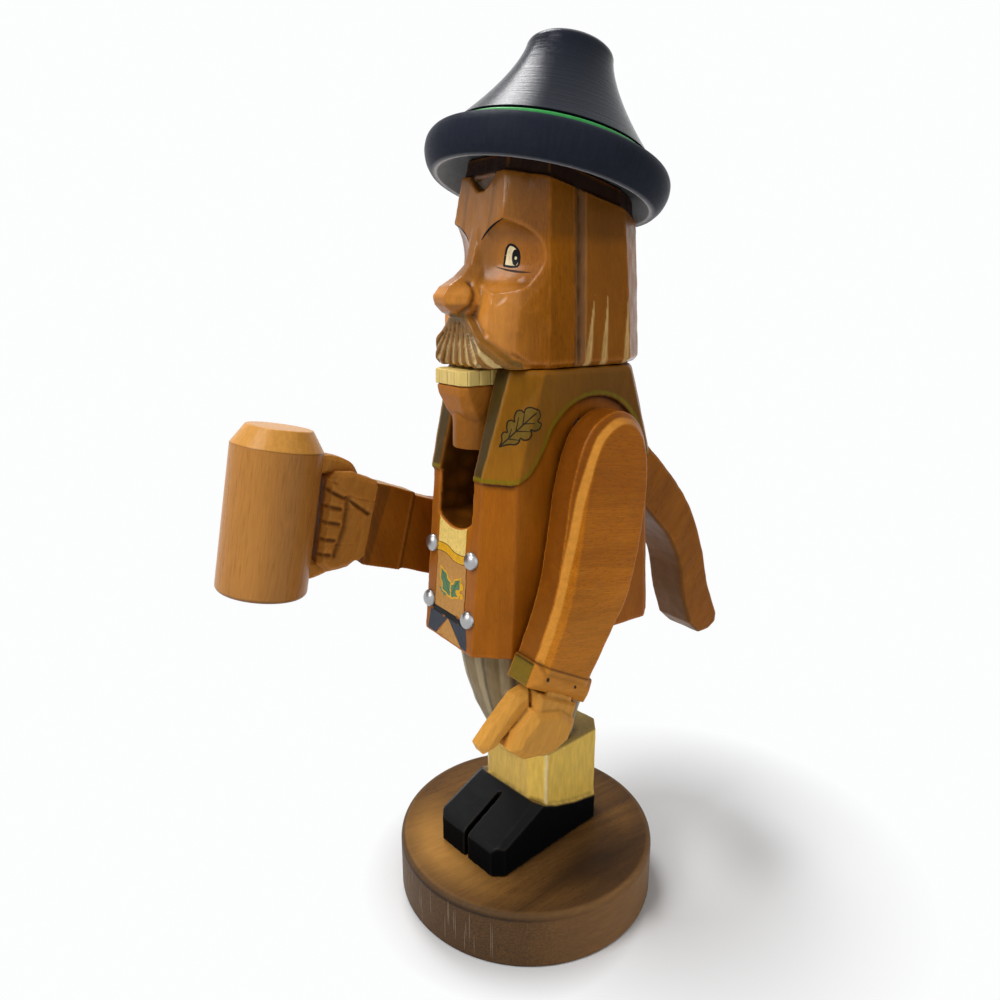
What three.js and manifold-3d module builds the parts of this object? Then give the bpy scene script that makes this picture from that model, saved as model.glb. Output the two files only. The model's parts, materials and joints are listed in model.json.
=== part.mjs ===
// Carved wooden nutcracker figure holding a stein. Millimetres, +Z up, the figure faces -Y.
// The origin is the middle of the underside of the stand. The figure's left side is +X.
import * as THREE from 'three';
import { mergeVertices } from 'three/addons/utils/BufferGeometryUtils.js';
import Module from 'manifold-3d';

const wasm = await Module();
wasm.setup();

// Fits
const SEAT_GAP = 0.3; // between glued faces
const BORE_CLEARANCE = 0.15; // on the radius, round dowels, pins and nails
const TURN_CLEARANCE = 0.25; // on the radius, where a piece turns
const SLOT_CLEARANCE = 0.8; // each side of the lever in its slot
const TOOTH_GAP = 0.7; // between the teeth and the head, mouth shut

// Heights, each counted from the piece below
const BASE_HEIGHT = 17.5;
const STOCKING_HEIGHT = 32.1;
const TROUSER_HEIGHT = 38.9;
const JACKET_HEIGHT = 75.8;
const HEAD_HEIGHT = 42.4; // to the brim's lower edge, on the hat's axis

// Stand
const BASE_RADIUS = 40;
const BASE_EDGE = 1.1;
const COUNTERSINK = 1.2;

// Legs
const LEG_YAW = 7.5; // degrees, the feet are turned a little to the figure's left
const TROUSER_HALF_WIDTH = 16;
const TROUSER_HALF_DEPTH = 22.4;
const STOCKING_HALF_WIDTH = 13.2;
const STOCKING_FRONT = -8;
const STOCKING_BACK = 22.2;
const STOCKING_CORNER = 4.5;
const SHOE_WELT = 0.8; // how far the shoe stands proud of the stocking
const TOE_LENGTH = 17.3; // in front of the stocking
const TOE_HEIGHT = 8.6;
const INSTEP_HEIGHT = 17;
const TOE_SPLIT = 1;
const TOE_CORNER = 3;
const TOE_FACET = 1.7;

// Jacket block
const JACKET_HALF_WIDTH = 19.2;
const STRIP_HALF_WIDTH = 12;
const HEM_FRONT = -28.2;
const HEM_BACK = 34.6;
const CHEST_FRONT = -24.2; // at the foot of the lapels
const COLLAR_RISE = 1.4;
const LAPEL_DROP = 28.3; // from the neck to the foot of the lapels
const ARCH_RADIUS = 17; // of the collar's edge round each shoulder

// Lever, its slot and its pin
const LEVER_HALF_WIDTH = 7.4;
const SLOT_DROP = 42.8; // from the neck to the slot's floor
const SLOT_ROUND = 14; // radius of the slot's hollow floor
const PIVOT_Y = 2;
const PIVOT_DROP = 15.3; // from the neck to the pin
const PIN_RADIUS = 2;
const PIN_INSET = 0.4; // the pin's ends lie below the jacket's sides
const CHIN_HALF_WIDTH = 7;
const CHIN_REACH = 28.4; // in front of the pin
const CHIN_BACK = 13;
const TEETH_HEIGHT = 3.7;
const TEETH_FLAT = 5.4; // half width of the bar's front face
const TOOTH_WIDTH = 3.5;

// Head
const HEAD_HALF_WIDTH = 20;
const HEAD_BACK = 27.2;
const MOUSTACHE_RISE = 2.6;
const STRAND_COUNT = 8;
const HAIR_INSET = 0.9;
const HAIR_BAND = 4.8; // height of the hair left showing under the hat

// Hat
const HAT_TILT = 13.8; // degrees, leaning back
const HAT_Y = 3.4;
const HAT_RECESS = 4.6; // depth of the hollow under the brim, where the head seats
const HAT_RECESS_RADIUS = 23.6;
const BRIM_RADIUS = 32.5;
const BRIM_THICKNESS = 10.4;
const CROWN_FOOT_RADIUS = 26;
const CROWN_TOP_RADIUS = 11.4;
const CROWN_HEIGHT = 38.4;
const CROWN_HOLLOW = 1.43; // power of the curve of the crown's side

// Arms
const ARM_THICKNESS = 10.4;
const ARM_CHAMFER = 3;
const CUFF_RISE = 0.5;
const SHOULDER_Y = 6;
const SHOULDER_DROP = 24.3; // from the neck
const SHOULDER_RADIUS = 4;
const SHOULDER_DEPTH = 6; // of the dowel in the arm
const WRIST_HALF = 3.4;

// Stein
const STEIN_RADIUS = 12.1;
const STEIN_HEIGHT = 45;
const STEIN_LIP = 3.4; // width of the slope round the top
const STEIN_LIP_HEIGHT = 5.4;
const STEIN_LEAN = 11; // degrees, towards the figure
const GRIP_REACH = 60.7; // from the shoulder forward to the stein's back wall
const GRIP_DROP = 15.3; // from the shoulder down to the stein's middle
const HANDLE_WIDTH = 6;
const HANDLE_THICKNESS = 5;

// Fixings
const DOWEL_RADIUS = 3;
const LEG_DOWEL_X = 7;
const NAIL_RADIUS = 2.5;
const NAIL_DOME = 1.7;
const NAIL_SHANK = 0.8;
const NAIL_LENGTH = 9;
const BUTTON_X = 9.8;
const BUTTON_UPPER = 26.2; // above the hem
const BUTTON_LOWER = 9.8;
const SCREW_X = 8.5;
const SCREW_HEAD = 4;
const SCREW_SHANK = 2;
const SCREW_DEPTH = 16.5; // into the legs
const LEG_DOWEL_HALF = 13;
const HEAD_DOWEL_HALF = 11.5;
const HAT_DOWEL_HALF = 13;

const FAR = 60; // past the end of any piece

// Levels and planes that follow from these
const SHOE_FLOOR = BASE_HEIGHT + SEAT_GAP;
const STOCKING_TOP = BASE_HEIGHT + STOCKING_HEIGHT;
const HEM = STOCKING_TOP + TROUSER_HEIGHT;
const NECK = HEM + JACKET_HEIGHT;
const HEAD_BOTTOM = NECK + SEAT_GAP;
const LAPEL = NECK - LAPEL_DROP;
const PIVOT_Z = NECK - PIVOT_DROP;
const SHOULDER_Z = NECK - SHOULDER_DROP;
const SLOT_HALF = LEVER_HALF_WIDTH + SLOT_CLEARANCE;
const ARM_INNER = JACKET_HALF_WIDTH + COLLAR_RISE + SEAT_GAP;
const HAND_MIDDLE = ARM_INNER + ARM_THICKNESS / 2;

const WOOD = 0xa56428;
const PALE_WOOD = 0xc89b62;
const STEEL = 0xb8b8b4;
const rad = THREE.MathUtils.degToRad;

// Turns a closed three.js geometry into a solid that can be cut.
function solid(geometry) {
  const plain = geometry.clone();
  plain.deleteAttribute('normal');
  plain.deleteAttribute('uv');
  const merged = mergeVertices(plain, 1e-4);
  return new wasm.Manifold(new wasm.Mesh({
    numProp: 3,
    vertProperties: new Float32Array(merged.attributes.position.array),
    triVerts: new Uint32Array(merged.index.array),
  }));
}

function geometryOf(body) {
  const mesh = body.getMesh();
  const geometry = new THREE.BufferGeometry();
  geometry.setAttribute('position', new THREE.BufferAttribute(new Float32Array(mesh.vertProperties), 3));
  geometry.setIndex(new THREE.BufferAttribute(new Uint32Array(mesh.triVerts), 1));
  geometry.computeVertexNormals();
  return geometry;
}

function shapeOf(points) {
  return new THREE.Shape(points.map(([u, v]) => new THREE.Vector2(u, v)));
}

// A flat outline in X and Y, raised from one height to another.
function prismZ(points, low, high) {
  const geometry = new THREE.ExtrudeGeometry(shapeOf(points), { depth: high - low, bevelEnabled: false });
  geometry.translate(0, 0, low);
  return solid(geometry);
}

// Moves every side of a closed outline inwards by the same amount.
function inset(points, amount) {
  const count = points.length;
  const turn = Math.sign(THREE.ShapeUtils.area(points.map(([u, v]) => new THREE.Vector2(u, v))));
  return points.map(([u, v], i) => {
    const [pu, pv] = points[(i + count - 1) % count];
    const [nu, nv] = points[(i + 1) % count];
    const before = new THREE.Vector2(-(v - pv), u - pu).normalize();
    const after = new THREE.Vector2(-(nv - v), nu - u).normalize();
    const half = before.clone().add(after).normalize();
    const reach = turn * amount / Math.max(half.dot(before), 0.35);
    return [u + half.x * reach, v + half.y * reach];
  });
}

// A flat outline in Y and Z, carried across X. Its edges are chamfered when asked: all, or the far side only.
function prismX(points, low, high, chamfer = 0, farOnly = false) {
  const sections = [{ z: low, points }, { z: high, points }];
  if (chamfer > 0) {
    const narrow = inset(points, chamfer);
    sections[1].z = high - chamfer;
    sections.push({ z: high, points: narrow });
    if (!farOnly) {
      sections[0].z = low + chamfer;
      sections.unshift({ z: low, points: narrow });
    }
  }
  const body = loft(sections);
  return body.transform([0, 1, 0, 0, 0, 0, 1, 0, 1, 0, 0, 0, 0, 0, 0, 1]);
}

// A flat outline in X and Z, carried across Y.
function prismY(points, low, high) {
  const geometry = new THREE.ExtrudeGeometry(shapeOf(points), { depth: high - low, bevelEnabled: false });
  geometry.rotateX(Math.PI / 2);
  geometry.translate(0, high, 0);
  return solid(geometry);
}

function cylinder(radius, low, high, sides = 32) {
  const geometry = new THREE.CylinderGeometry(radius, radius, high - low, sides);
  geometry.rotateX(Math.PI / 2);
  geometry.translate(0, 0, (low + high) / 2);
  return solid(geometry);
}

function turned(profile, sides) {
  const geometry = new THREE.LatheGeometry(profile.map(([r, h]) => new THREE.Vector2(r, h)), sides);
  geometry.rotateX(Math.PI / 2);
  return solid(geometry);
}

function ellipsoid(radii, across, down) {
  const geometry = new THREE.SphereGeometry(1, across, down);
  geometry.scale(...radii);
  return solid(geometry);
}

function box(low, high) {
  const size = high.map((value, axis) => value - low[axis]);
  const geometry = new THREE.BoxGeometry(...size);
  geometry.translate(...low.map((value, axis) => value + size[axis] / 2));
  return solid(geometry);
}

// Joins outlines of equal point count, each at its own height, into one closed block.
function loft(levels) {
  const count = levels[0].points.length;
  const flat = (section) => section.points.map(([x, y]) => new THREE.Vector2(x, y));
  const backwards = THREE.ShapeUtils.isClockWise(flat(levels[0]));
  const inOrder = (points) => (backwards ? points.slice().reverse() : points);
  const sections = levels.map(({ z, points }) => ({ z, points: inOrder(points) }));
  const positions = [];
  for (const { z, points } of sections) {
    for (const [x, y] of points) positions.push(x, y, z);
  }
  const index = [];
  for (let level = 0; level + 1 < sections.length; level++) {
    for (let i = 0; i < count; i++) {
      const a = level * count + i;
      const b = level * count + (i + 1) % count;
      index.push(a, b, b + count, a, b + count, a + count);
    }
  }
  const top = (sections.length - 1) * count;
  for (const [a, b, c] of THREE.ShapeUtils.triangulateShape(flat(sections[0]), [])) index.push(a, c, b);
  for (const [a, b, c] of THREE.ShapeUtils.triangulateShape(flat(sections.at(-1)), [])) {
    index.push(top + a, top + b, top + c);
  }
  const geometry = new THREE.BufferGeometry();
  geometry.setAttribute('position', new THREE.Float32BufferAttribute(positions, 3));
  geometry.setIndex(index);
  return solid(geometry);
}

// Mirrors the right-hand half of an outline, listed from front to back, about X = 0.
function mirrored(half) {
  return [...half, ...half.slice().reverse().map(([x, y]) => [-x, y])];
}

function smooth(points, steps) {
  const curve = new THREE.CatmullRomCurve3(points.map(([u, v]) => new THREE.Vector3(u, v, 0)));
  return curve.getPoints(steps).map((p) => [p.x, p.y]);
}

// Points on an arc about a centre, angles in degrees.
function arc([u, v], radius, from, to, steps) {
  const points = [];
  for (let step = 0; step <= steps; step++) {
    const angle = rad(from + (to - from) * step / steps);
    points.push([u + radius * Math.cos(angle), v + radius * Math.sin(angle)]);
  }
  return points;
}

// Carries a chamfered rectangle along a centre line in Y and Z, as a bent strap.
function strap(centreLine, width, thickness, chamfer, steps) {
  const line = smooth(centreLine, steps);
  const w = width / 2;
  const t = thickness / 2;
  const ring = [
    [t, -w + chamfer], [t, w - chamfer], [t - chamfer, w], [-t + chamfer, w],
    [-t, w - chamfer], [-t, -w + chamfer], [-t + chamfer, -w], [t - chamfer, -w],
  ];
  const positions = [];
  const index = [];
  line.forEach(([y, z], level) => {
    const [py, pz] = line[Math.max(level - 1, 0)];
    const [ny, nz] = line[Math.min(level + 1, steps)];
    const length = Math.hypot(ny - py, nz - pz);
    const across = [-(nz - pz) / length, (ny - py) / length];
    for (const [out, side] of ring) positions.push(side, y + across[0] * out, z + across[1] * out);
    if (level === steps) return;
    ring.forEach((_, i) => {
      const a = level * ring.length + i;
      const b = level * ring.length + (i + 1) % ring.length;
      index.push(a, b, b + ring.length, a, b + ring.length, a + ring.length);
    });
  });
  const last = steps * ring.length;
  for (let i = 1; i + 1 < ring.length; i++) {
    index.push(0, i + 1, i);
    index.push(last, last + i, last + i + 1);
  }
  const geometry = new THREE.BufferGeometry();
  geometry.setAttribute('position', new THREE.Float32BufferAttribute(positions, 3));
  geometry.setIndex(index);
  return solid(geometry);
}

const union = (bodies) => bodies.reduce((whole, body) => whole.add(body));
const cut = (body, tools) => tools.reduce((rest, tool) => rest.subtract(tool), body);
const flipX = (body) => body.mirror([1, 0, 0]);
const bothSides = (body) => [body, flipX(body)];

function crosswise(radius, low, high, sides = 28) {
  return cylinder(radius, low, high, sides).rotate([0, 90, 0]);
}

function upright(radius, x, y, low, high, sides = 24) {
  return cylinder(radius, low, high, sides).translate([x, y, 0]);
}

// A V-shaped gouge between two points, cut into a face that looks along the given normal.
function gouge(from, to, normal, width, depth) {
  const start = new THREE.Vector3(...from);
  const along = new THREE.Vector3(...to).sub(start);
  const length = along.length();
  along.normalize();
  const out = new THREE.Vector3(...normal).normalize();
  const side = new THREE.Vector3().crossVectors(out, along).normalize();
  out.crossVectors(along, side);
  const wedge = shapeOf([[0, -depth], [width, depth], [-width, depth]]);
  const geometry = new THREE.ExtrudeGeometry(wedge, { depth: length, bevelEnabled: false });
  geometry.applyMatrix4(new THREE.Matrix4().makeBasis(side, out, along).setPosition(start));
  return solid(geometry);
}

const part = new THREE.Group();
part.name = 'nutcracker';

function place(name, body, color, roughness, metalness = 0) {
  const material = new THREE.MeshStandardMaterial({ color, roughness, metalness });
  const mesh = new THREE.Mesh(geometryOf(body), material);
  mesh.name = name;
  part.add(mesh);
}

// Stand, with countersunk holes for the two screws that hold the legs
const screwProfile = (grow) => [
  [0, COUNTERSINK - 2 * grow], [SCREW_HEAD + grow, COUNTERSINK - 2 * grow],
  [SCREW_HEAD + grow, COUNTERSINK + 0.4],
  [SCREW_SHANK + grow, COUNTERSINK + 3], [SCREW_SHANK + grow, BASE_HEIGHT + SCREW_DEPTH - 2 * SCREW_SHANK],
  [0, BASE_HEIGHT + SCREW_DEPTH + grow],
];
const screwAt = (side, grow) => turned(screwProfile(grow), 24).translate([side * SCREW_X, 0, 0]);
const screwHoles = [-1, 1].map((side) => screwAt(side, BORE_CLEARANCE));
const screwWells = [-1, 1].map((side) => upright(
  SCREW_HEAD + BORE_CLEARANCE, side * SCREW_X, 0, -COUNTERSINK, COUNTERSINK));
const stand = turned([
  [0, 0], [BASE_RADIUS - BASE_EDGE / 2, 0], [BASE_RADIUS, BASE_EDGE / 2],
  [BASE_RADIUS, BASE_HEIGHT - BASE_EDGE],
  [BASE_RADIUS - 0.35 * BASE_EDGE, BASE_HEIGHT - 0.35 * BASE_EDGE], [BASE_RADIUS - BASE_EDGE, BASE_HEIGHT],
  [0, BASE_HEIGHT],
], 72);
place('base_disc', cut(stand, [...screwHoles, ...screwWells]), 0x694b2d, 0.55);
place('base_screw_left', screwAt(1, 0), STEEL, 0.35, 1);
place('base_screw_right', screwAt(-1, 0), STEEL, 0.35, 1);

// Legs: trousers swelling up to the hem, eight-sided stockings with a ledge, shoes with a split toe
function ovalSection(z, halfWidth, halfDepth, middle) {
  const points = [];
  const SIDES = 36;
  const squareness = 2 / 2.6;
  for (let i = 0; i < SIDES; i++) {
    const c = Math.cos((i / SIDES) * 2 * Math.PI);
    const s = Math.sin((i / SIDES) * 2 * Math.PI);
    points.push([
      halfWidth * Math.sign(c) * Math.abs(c) ** squareness,
      middle + halfDepth * Math.sign(s) * Math.abs(s) ** squareness,
    ]);
  }
  return { z, points };
}
// Each row: share of the trousers' height, of their half width and half depth, and the middle's Y
const trousers = loft([
  [-0.03, 0.68, 0.56, 2.5], [0.17, 0.74, 0.65, 2.2], [0.37, 0.85, 0.79, 1.6], [0.6, 0.94, 0.9, 1.2],
  [0.81, 0.99, 0.97, 1], [1, 1, 1, 1],
].map(([up, wide, deep, middle]) => ovalSection(
  STOCKING_TOP + up * (TROUSER_HEIGHT - SEAT_GAP),
  wide * TROUSER_HALF_WIDTH, deep * TROUSER_HALF_DEPTH, middle)));
const stockings = prismZ(mirrored([
  [STOCKING_HALF_WIDTH - STOCKING_CORNER, STOCKING_FRONT],
  [STOCKING_HALF_WIDTH, STOCKING_FRONT + 0.8 * STOCKING_CORNER],
  [STOCKING_HALF_WIDTH, STOCKING_BACK - STOCKING_CORNER],
  [STOCKING_HALF_WIDTH - STOCKING_CORNER, STOCKING_BACK],
]), SHOE_FLOOR + 4, STOCKING_TOP);
const shoeHalf = STOCKING_HALF_WIDTH + SHOE_WELT;
const toeFront = STOCKING_FRONT - TOE_LENGTH;
const heelBack = STOCKING_BACK + SHOE_WELT / 2;
const shoeSide = prismX([
  [toeFront, 0], [heelBack, 0], [heelBack, 0.47 * INSTEP_HEIGHT], [heelBack - 6, 0.5 * INSTEP_HEIGHT],
  [STOCKING_FRONT + 15.5, 0.62 * INSTEP_HEIGHT], [STOCKING_FRONT + 7.5, 0.78 * INSTEP_HEIGHT],
  [STOCKING_FRONT - SHOE_WELT / 2, INSTEP_HEIGHT],
  [toeFront + 1, TOE_HEIGHT + 0.7], [toeFront, TOE_HEIGHT - 0.6],
].map(([y, z]) => [y, SHOE_FLOOR + z]), -shoeHalf, shoeHalf);
const shoePlan = prismZ(mirrored([
  [shoeHalf - TOE_CORNER, toeFront], [shoeHalf, toeFront + TOE_CORNER], [shoeHalf, heelBack - 5.3],
  [shoeHalf - STOCKING_CORNER - SHOE_WELT / 2, heelBack],
]), SHOE_FLOOR, SHOE_FLOOR + INSTEP_HEIGHT + 1);
const toeFacet = gouge(
  [shoeHalf, toeFront - 4, SHOE_FLOOR + TOE_HEIGHT - 0.5],
  [shoeHalf, STOCKING_FRONT + 1, SHOE_FLOOR + INSTEP_HEIGHT + 0.8], [1, -0.5, 1.2], FAR, TOE_FACET);
const toeSplit = box(
  [-TOE_SPLIT / 2, toeFront - 1, SHOE_FLOOR - 1],
  [TOE_SPLIT / 2, STOCKING_FRONT - 2.5, SHOE_FLOOR + 2 * INSTEP_HEIGHT]);
const shoes = cut(shoeSide.intersect(shoePlan), [...bothSides(toeFacet), toeSplit]);
const legDowel = (side, grow) => upright(
  DOWEL_RADIUS + grow, side * LEG_DOWEL_X, 1, HEM - LEG_DOWEL_HALF - grow, HEM + LEG_DOWEL_HALF + grow);
const legs = union([trousers, stockings, shoes]).rotate([0, 0, LEG_YAW]);
const legBores = [-1, 1].map((side) => legDowel(side, BORE_CLEARANCE));
place('legs', cut(legs, [...screwHoles, ...legBores]), 0x82735f, 0.6);
place('leg_dowel_left', legDowel(1, 0), PALE_WOOD, 0.7);
place('leg_dowel_right', legDowel(-1, 0), PALE_WOOD, 0.7);

// Jacket block: eight-sided, the chest and the upper back sloping in to the neck
const FRONT_RISE = 0.45; // the collar's share of its rise on the front and back faces
function jacketSection(z, [strip, front], [side, sideFront, sideBack], [backHalf, back], grow) {
  return { z, points: mirrored([
    [strip + grow * 0.4, front - grow * FRONT_RISE], [side + grow, sideFront - grow * 0.4],
    [side + grow, sideBack + grow * 0.4], [backHalf + grow * 0.4, back + grow],
  ]) };
}
const jacketBlock = (grow) => loft([
  jacketSection(HEM, [STRIP_HALF_WIDTH, HEM_FRONT],
    [JACKET_HALF_WIDTH, HEM_FRONT + 8.2, HEM_BACK - 5], [JACKET_HALF_WIDTH - 4.2, HEM_BACK], grow),
  jacketSection(LAPEL, [STRIP_HALF_WIDTH - 0.2, CHEST_FRONT],
    [JACKET_HALF_WIDTH, CHEST_FRONT + 5.6, HEM_BACK - 7.8], [JACKET_HALF_WIDTH - 4.2, HEM_BACK - 3.4], grow),
  jacketSection(LAPEL + 8, [STRIP_HALF_WIDTH + 0.5, CHEST_FRONT + 2.2],
    [JACKET_HALF_WIDTH, CHEST_FRONT + 7.3, HEM_BACK - 10.2], [JACKET_HALF_WIDTH - 4.4, HEM_BACK - 5.6], grow),
  jacketSection(NECK - 1, [STRIP_HALF_WIDTH + 2.1, CHEST_FRONT + 7.4],
    [JACKET_HALF_WIDTH, CHEST_FRONT + 13.5, HEM_BACK - 17], [JACKET_HALF_WIDTH - 5.2, HEM_BACK - 11.6], grow),
  jacketSection(NECK, [STRIP_HALF_WIDTH + 1.7, CHEST_FRONT + 7.8],
    [JACKET_HALF_WIDTH - 0.8, CHEST_FRONT + 13.9, HEM_BACK - 17.6],
    [JACKET_HALF_WIDTH - 5.8, HEM_BACK - 12.4], grow),
]);
// Side view of the collar: square lapels in front, arched round each shoulder, lower at the back
const collarSide = prismX([
  [-FAR, LAPEL], [CHEST_FRONT + 4.6, LAPEL], [SHOULDER_Y - ARCH_RADIUS - 4.4, LAPEL + 2.2],
  [SHOULDER_Y - ARCH_RADIUS - 1.6, LAPEL + 5.4], ...arc([SHOULDER_Y, SHOULDER_Z], ARCH_RADIUS, 162, 8, 14),
  [SHOULDER_Y + ARCH_RADIUS + 1, SHOULDER_Z - 1], [FAR, SHOULDER_Z - 1], [FAR, NECK + 1], [-FAR, NECK + 1],
], -FAR, FAR);
const collar = jacketBlock(COLLAR_RISE).intersect(collarSide);
const slotFloor = NECK - SLOT_DROP;
const slotSweep = THREE.MathUtils.radToDeg(Math.asin(SLOT_HALF / SLOT_ROUND));
const leverSlot = prismY([
  ...arc([0, slotFloor + SLOT_ROUND], SLOT_ROUND, 270 - slotSweep, 270 + slotSweep, 10),
  [SLOT_HALF, NECK + FAR], [-SLOT_HALF, NECK + FAR],
], -FAR, FAR);
// The slot runs deeper at the back, under the lever as it slopes down to the tail
const tailRelief = prismX(
  [[14, -14], [FAR, -14], [FAR, -55], [26, -23]], -SLOT_HALF, SLOT_HALF).translate([0, PIVOT_Y, PIVOT_Z]);
const shoulderDowel = (grow) => crosswise(
  SHOULDER_RADIUS + grow, SLOT_HALF + 4.5 - grow, ARM_INNER + SHOULDER_DEPTH + grow, 32,
).translate([0, SHOULDER_Y, SHOULDER_Z]);
const headDowelX = (SLOT_HALF + JACKET_HALF_WIDTH) / 2;
const headDowel = (side, grow) => upright(
  DOWEL_RADIUS + grow, side * headDowelX, SHOULDER_Y + 3,
  NECK - HEAD_DOWEL_HALF - grow, NECK + HEAD_DOWEL_HALF + grow);
const headBores = [-1, 1].map((side) => headDowel(side, BORE_CLEARANCE));
const pinHalf = JACKET_HALF_WIDTH - PIN_INSET;
const atPivot = (body) => body.translate([0, PIVOT_Y, PIVOT_Z]);
const pivotBore = atPivot(crosswise(PIN_RADIUS + BORE_CLEARANCE, -FAR, FAR));

// Domed nails. The vest strip leans back a little, so each nail follows its slope.
const stripSlope = Math.atan2(CHEST_FRONT - HEM_FRONT, LAPEL - HEM);
function nail(x, height, grow) {
  const shank = NAIL_SHANK + grow;
  const profile = [[0, -NAIL_LENGTH - grow], [shank, -NAIL_LENGTH + 2 * NAIL_SHANK - grow]];
  if (grow === 0) {
    const dome = arc([0, 0], 1, 0, 90, 4).map(([r, h]) => [NAIL_RADIUS * r, 0.4 + NAIL_DOME * h]);
    dome[dome.length - 1][0] = 0;
    profile.push([shank, 0.05], [NAIL_RADIUS, 0.05], ...dome);
  } else {
    profile.push([shank, 2], [0, 2]);
  }
  const front = HEM_FRONT + height * Math.tan(stripSlope);
  return turned(profile, 16).rotate([90 - THREE.MathUtils.radToDeg(stripSlope), 0, 0])
    .translate([x, front, HEM + height]);
}
const nails = [
  ['button_upper_left', BUTTON_X, BUTTON_UPPER], ['button_upper_right', -BUTTON_X, BUTTON_UPPER],
  ['button_lower_left', BUTTON_X, BUTTON_LOWER], ['button_lower_right', -BUTTON_X, BUTTON_LOWER],
];
place('torso', cut(jacketBlock(0).add(collar), [
  leverSlot, tailRelief, pivotBore, ...bothSides(shoulderDowel(BORE_CLEARANCE)),
  ...headBores, ...legBores,
  ...nails.map(([, x, height]) => nail(x, height, BORE_CLEARANCE)),
]), WOOD, 0.45);
for (const [name, x, height] of nails) place(name, nail(x, height, 0), 0xc9cbcd, 0.22, 1);
place('left_shoulder_dowel', shoulderDowel(0), PALE_WOOD, 0.7);
place('right_shoulder_dowel', flipX(shoulderDowel(0)), PALE_WOOD, 0.7);
place('head_dowel_left', headDowel(1, 0), PALE_WOOD, 0.7);
place('head_dowel_right', headDowel(-1, 0), PALE_WOOD, 0.7);
place('pivot_pin', atPivot(crosswise(PIN_RADIUS, -pinHalf, pinHalf)), STEEL, 0.35, 1);

// Jaw lever, drawn about its pin: from the chin through the slot to the curved tail
const teethTop = HEAD_BOTTOM - TOOTH_GAP - PIVOT_Z;
const chinTop = teethTop - TEETH_HEIGHT - SEAT_GAP;
const leverBack = smooth([
  [6, 12.2], [15, 7.4], [26, -0.6], [45.8, -18], [58.6, -32.6], [66.9, -49.5], [71, -63], [77, -76],
], 26);
const leverFront = smooth([
  [63, -76.6], [58.6, -65.4], [55.4, -52.2], [49.9, -42.8], [43.9, -36.6], [27, -20.6], [12, -12],
  [-2, -8.6], [-CHIN_BACK, -8],
], 26);
const leverBoard = prismX([
  [-CHIN_BACK, teethTop - 0.2], [-5, teethTop - 0.2], ...leverBack,
  [76.8, -79.2], [73.4, -81.2], [68.4, -81.4], ...leverFront,
].reverse(), -LEVER_HALF_WIDTH, LEVER_HALF_WIDTH, 0.7);
const throatRadius = CHIN_HALF_WIDTH - 0.6;
const throat = upright(throatRadius, 0, -CHIN_BACK - 6.8, -5.9, chinTop - 1);
function chinSection(z, half, front, facet) {
  return { z, points: mirrored([[facet, front], [half, front + (half - facet) * 0.9], [half, -CHIN_BACK]]) };
}
const chin = loft([
  chinSection(0.2, CHIN_HALF_WIDTH - 1.4, 5 - CHIN_REACH, 3),
  chinSection(1.8, CHIN_HALF_WIDTH - 1, 3.6 - CHIN_REACH, 3.6),
  chinSection(4.3, CHIN_HALF_WIDTH - 0.5, 1.8 - CHIN_REACH, 4.2),
  chinSection(8.6, CHIN_HALF_WIDTH - 0.1, -CHIN_REACH, 5),
  chinSection(chinTop, CHIN_HALF_WIDTH, -CHIN_REACH - 0.2, 5.2),
]);
const leverBore = crosswise(PIN_RADIUS + TURN_CLEARANCE, -FAR, FAR);
const teethLedge = box([-FAR, -FAR, chinTop], [FAR, -CHIN_BACK - 0.6, FAR]);
place('jaw_lever', atPivot(cut(union([leverBoard, throat, chin]), [leverBore, teethLedge])), 0xa8682c, 0.45);
const teethFront = -CHIN_REACH - 0.5;
const teethHalf = CHIN_HALF_WIDTH + 0.3;
const teethSide = teethFront + teethHalf - TEETH_FLAT;
const teethBar = prismZ(mirrored([
  [TEETH_FLAT, teethFront], [teethHalf, teethSide], [teethHalf, -CHIN_BACK - 2],
]), chinTop + SEAT_GAP, teethTop);
const toothNotch = (x, y, out) => gouge([x, y, chinTop], [x, y, teethTop + 1], out, 0.5, 0.6);
const toothNotches = [-1, 0, 1].map((i) => toothNotch(i * TOOTH_WIDTH, teethFront, [0, -1, 0]));
for (let y = teethSide; y < -CHIN_BACK - 3; y += TOOTH_WIDTH) {
  toothNotches.push(...bothSides(toothNotch(teethHalf, y, [1, 0, 0])));
}
place('teeth_strip', atPivot(cut(teethBar, toothNotches)), 0xd7be6e, 0.5);

// Head, drawn up from its underside: a tapered block with flat cheeks, then the carving
function headSection(z, front, corner, sideFront, inward, backHalf, backIn, grow) {
  const side = HEAD_HALF_WIDTH - inward + grow;
  return { z, points: mirrored([
    [front[0], front[1] - grow], [corner[0] + grow * 0.6, corner[1] - grow * 0.8],
    [side, sideFront - grow * 0.4], [side, HEAD_BACK - backIn - 9 + grow * 0.4],
    [backHalf, HEAD_BACK - backIn + grow],
  ]) };
}
const headSections = (grow) => [
  headSection(0, [9.4, -20.9], [14.8, -16], -9.6, 1, 13.6, 1.4, grow),
  headSection(1.4, [9.8, -21.7], [15.8, -16.8], -9.4, 0, 14, 0, grow),
  headSection(14, [10.4, -20.6], [16, -16], -9, 0.5, 13.6, 0.6, grow),
  headSection(22, [10.6, -19.2], [15.2, -14.2], -8.8, 0.9, 13.4, 1, grow),
  headSection(36, [10.6, -17.2], [14.5, -12.8], -8.5, 1.7, 13, 2, grow),
  headSection(HEAD_HEIGHT + HAT_RECESS + 9, [8.3, -13.9], [12.7, -10.6], -7.4, 3, 12, 4, grow),
];
const headBlock = (grow) => loft(headSections(grow));
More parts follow.
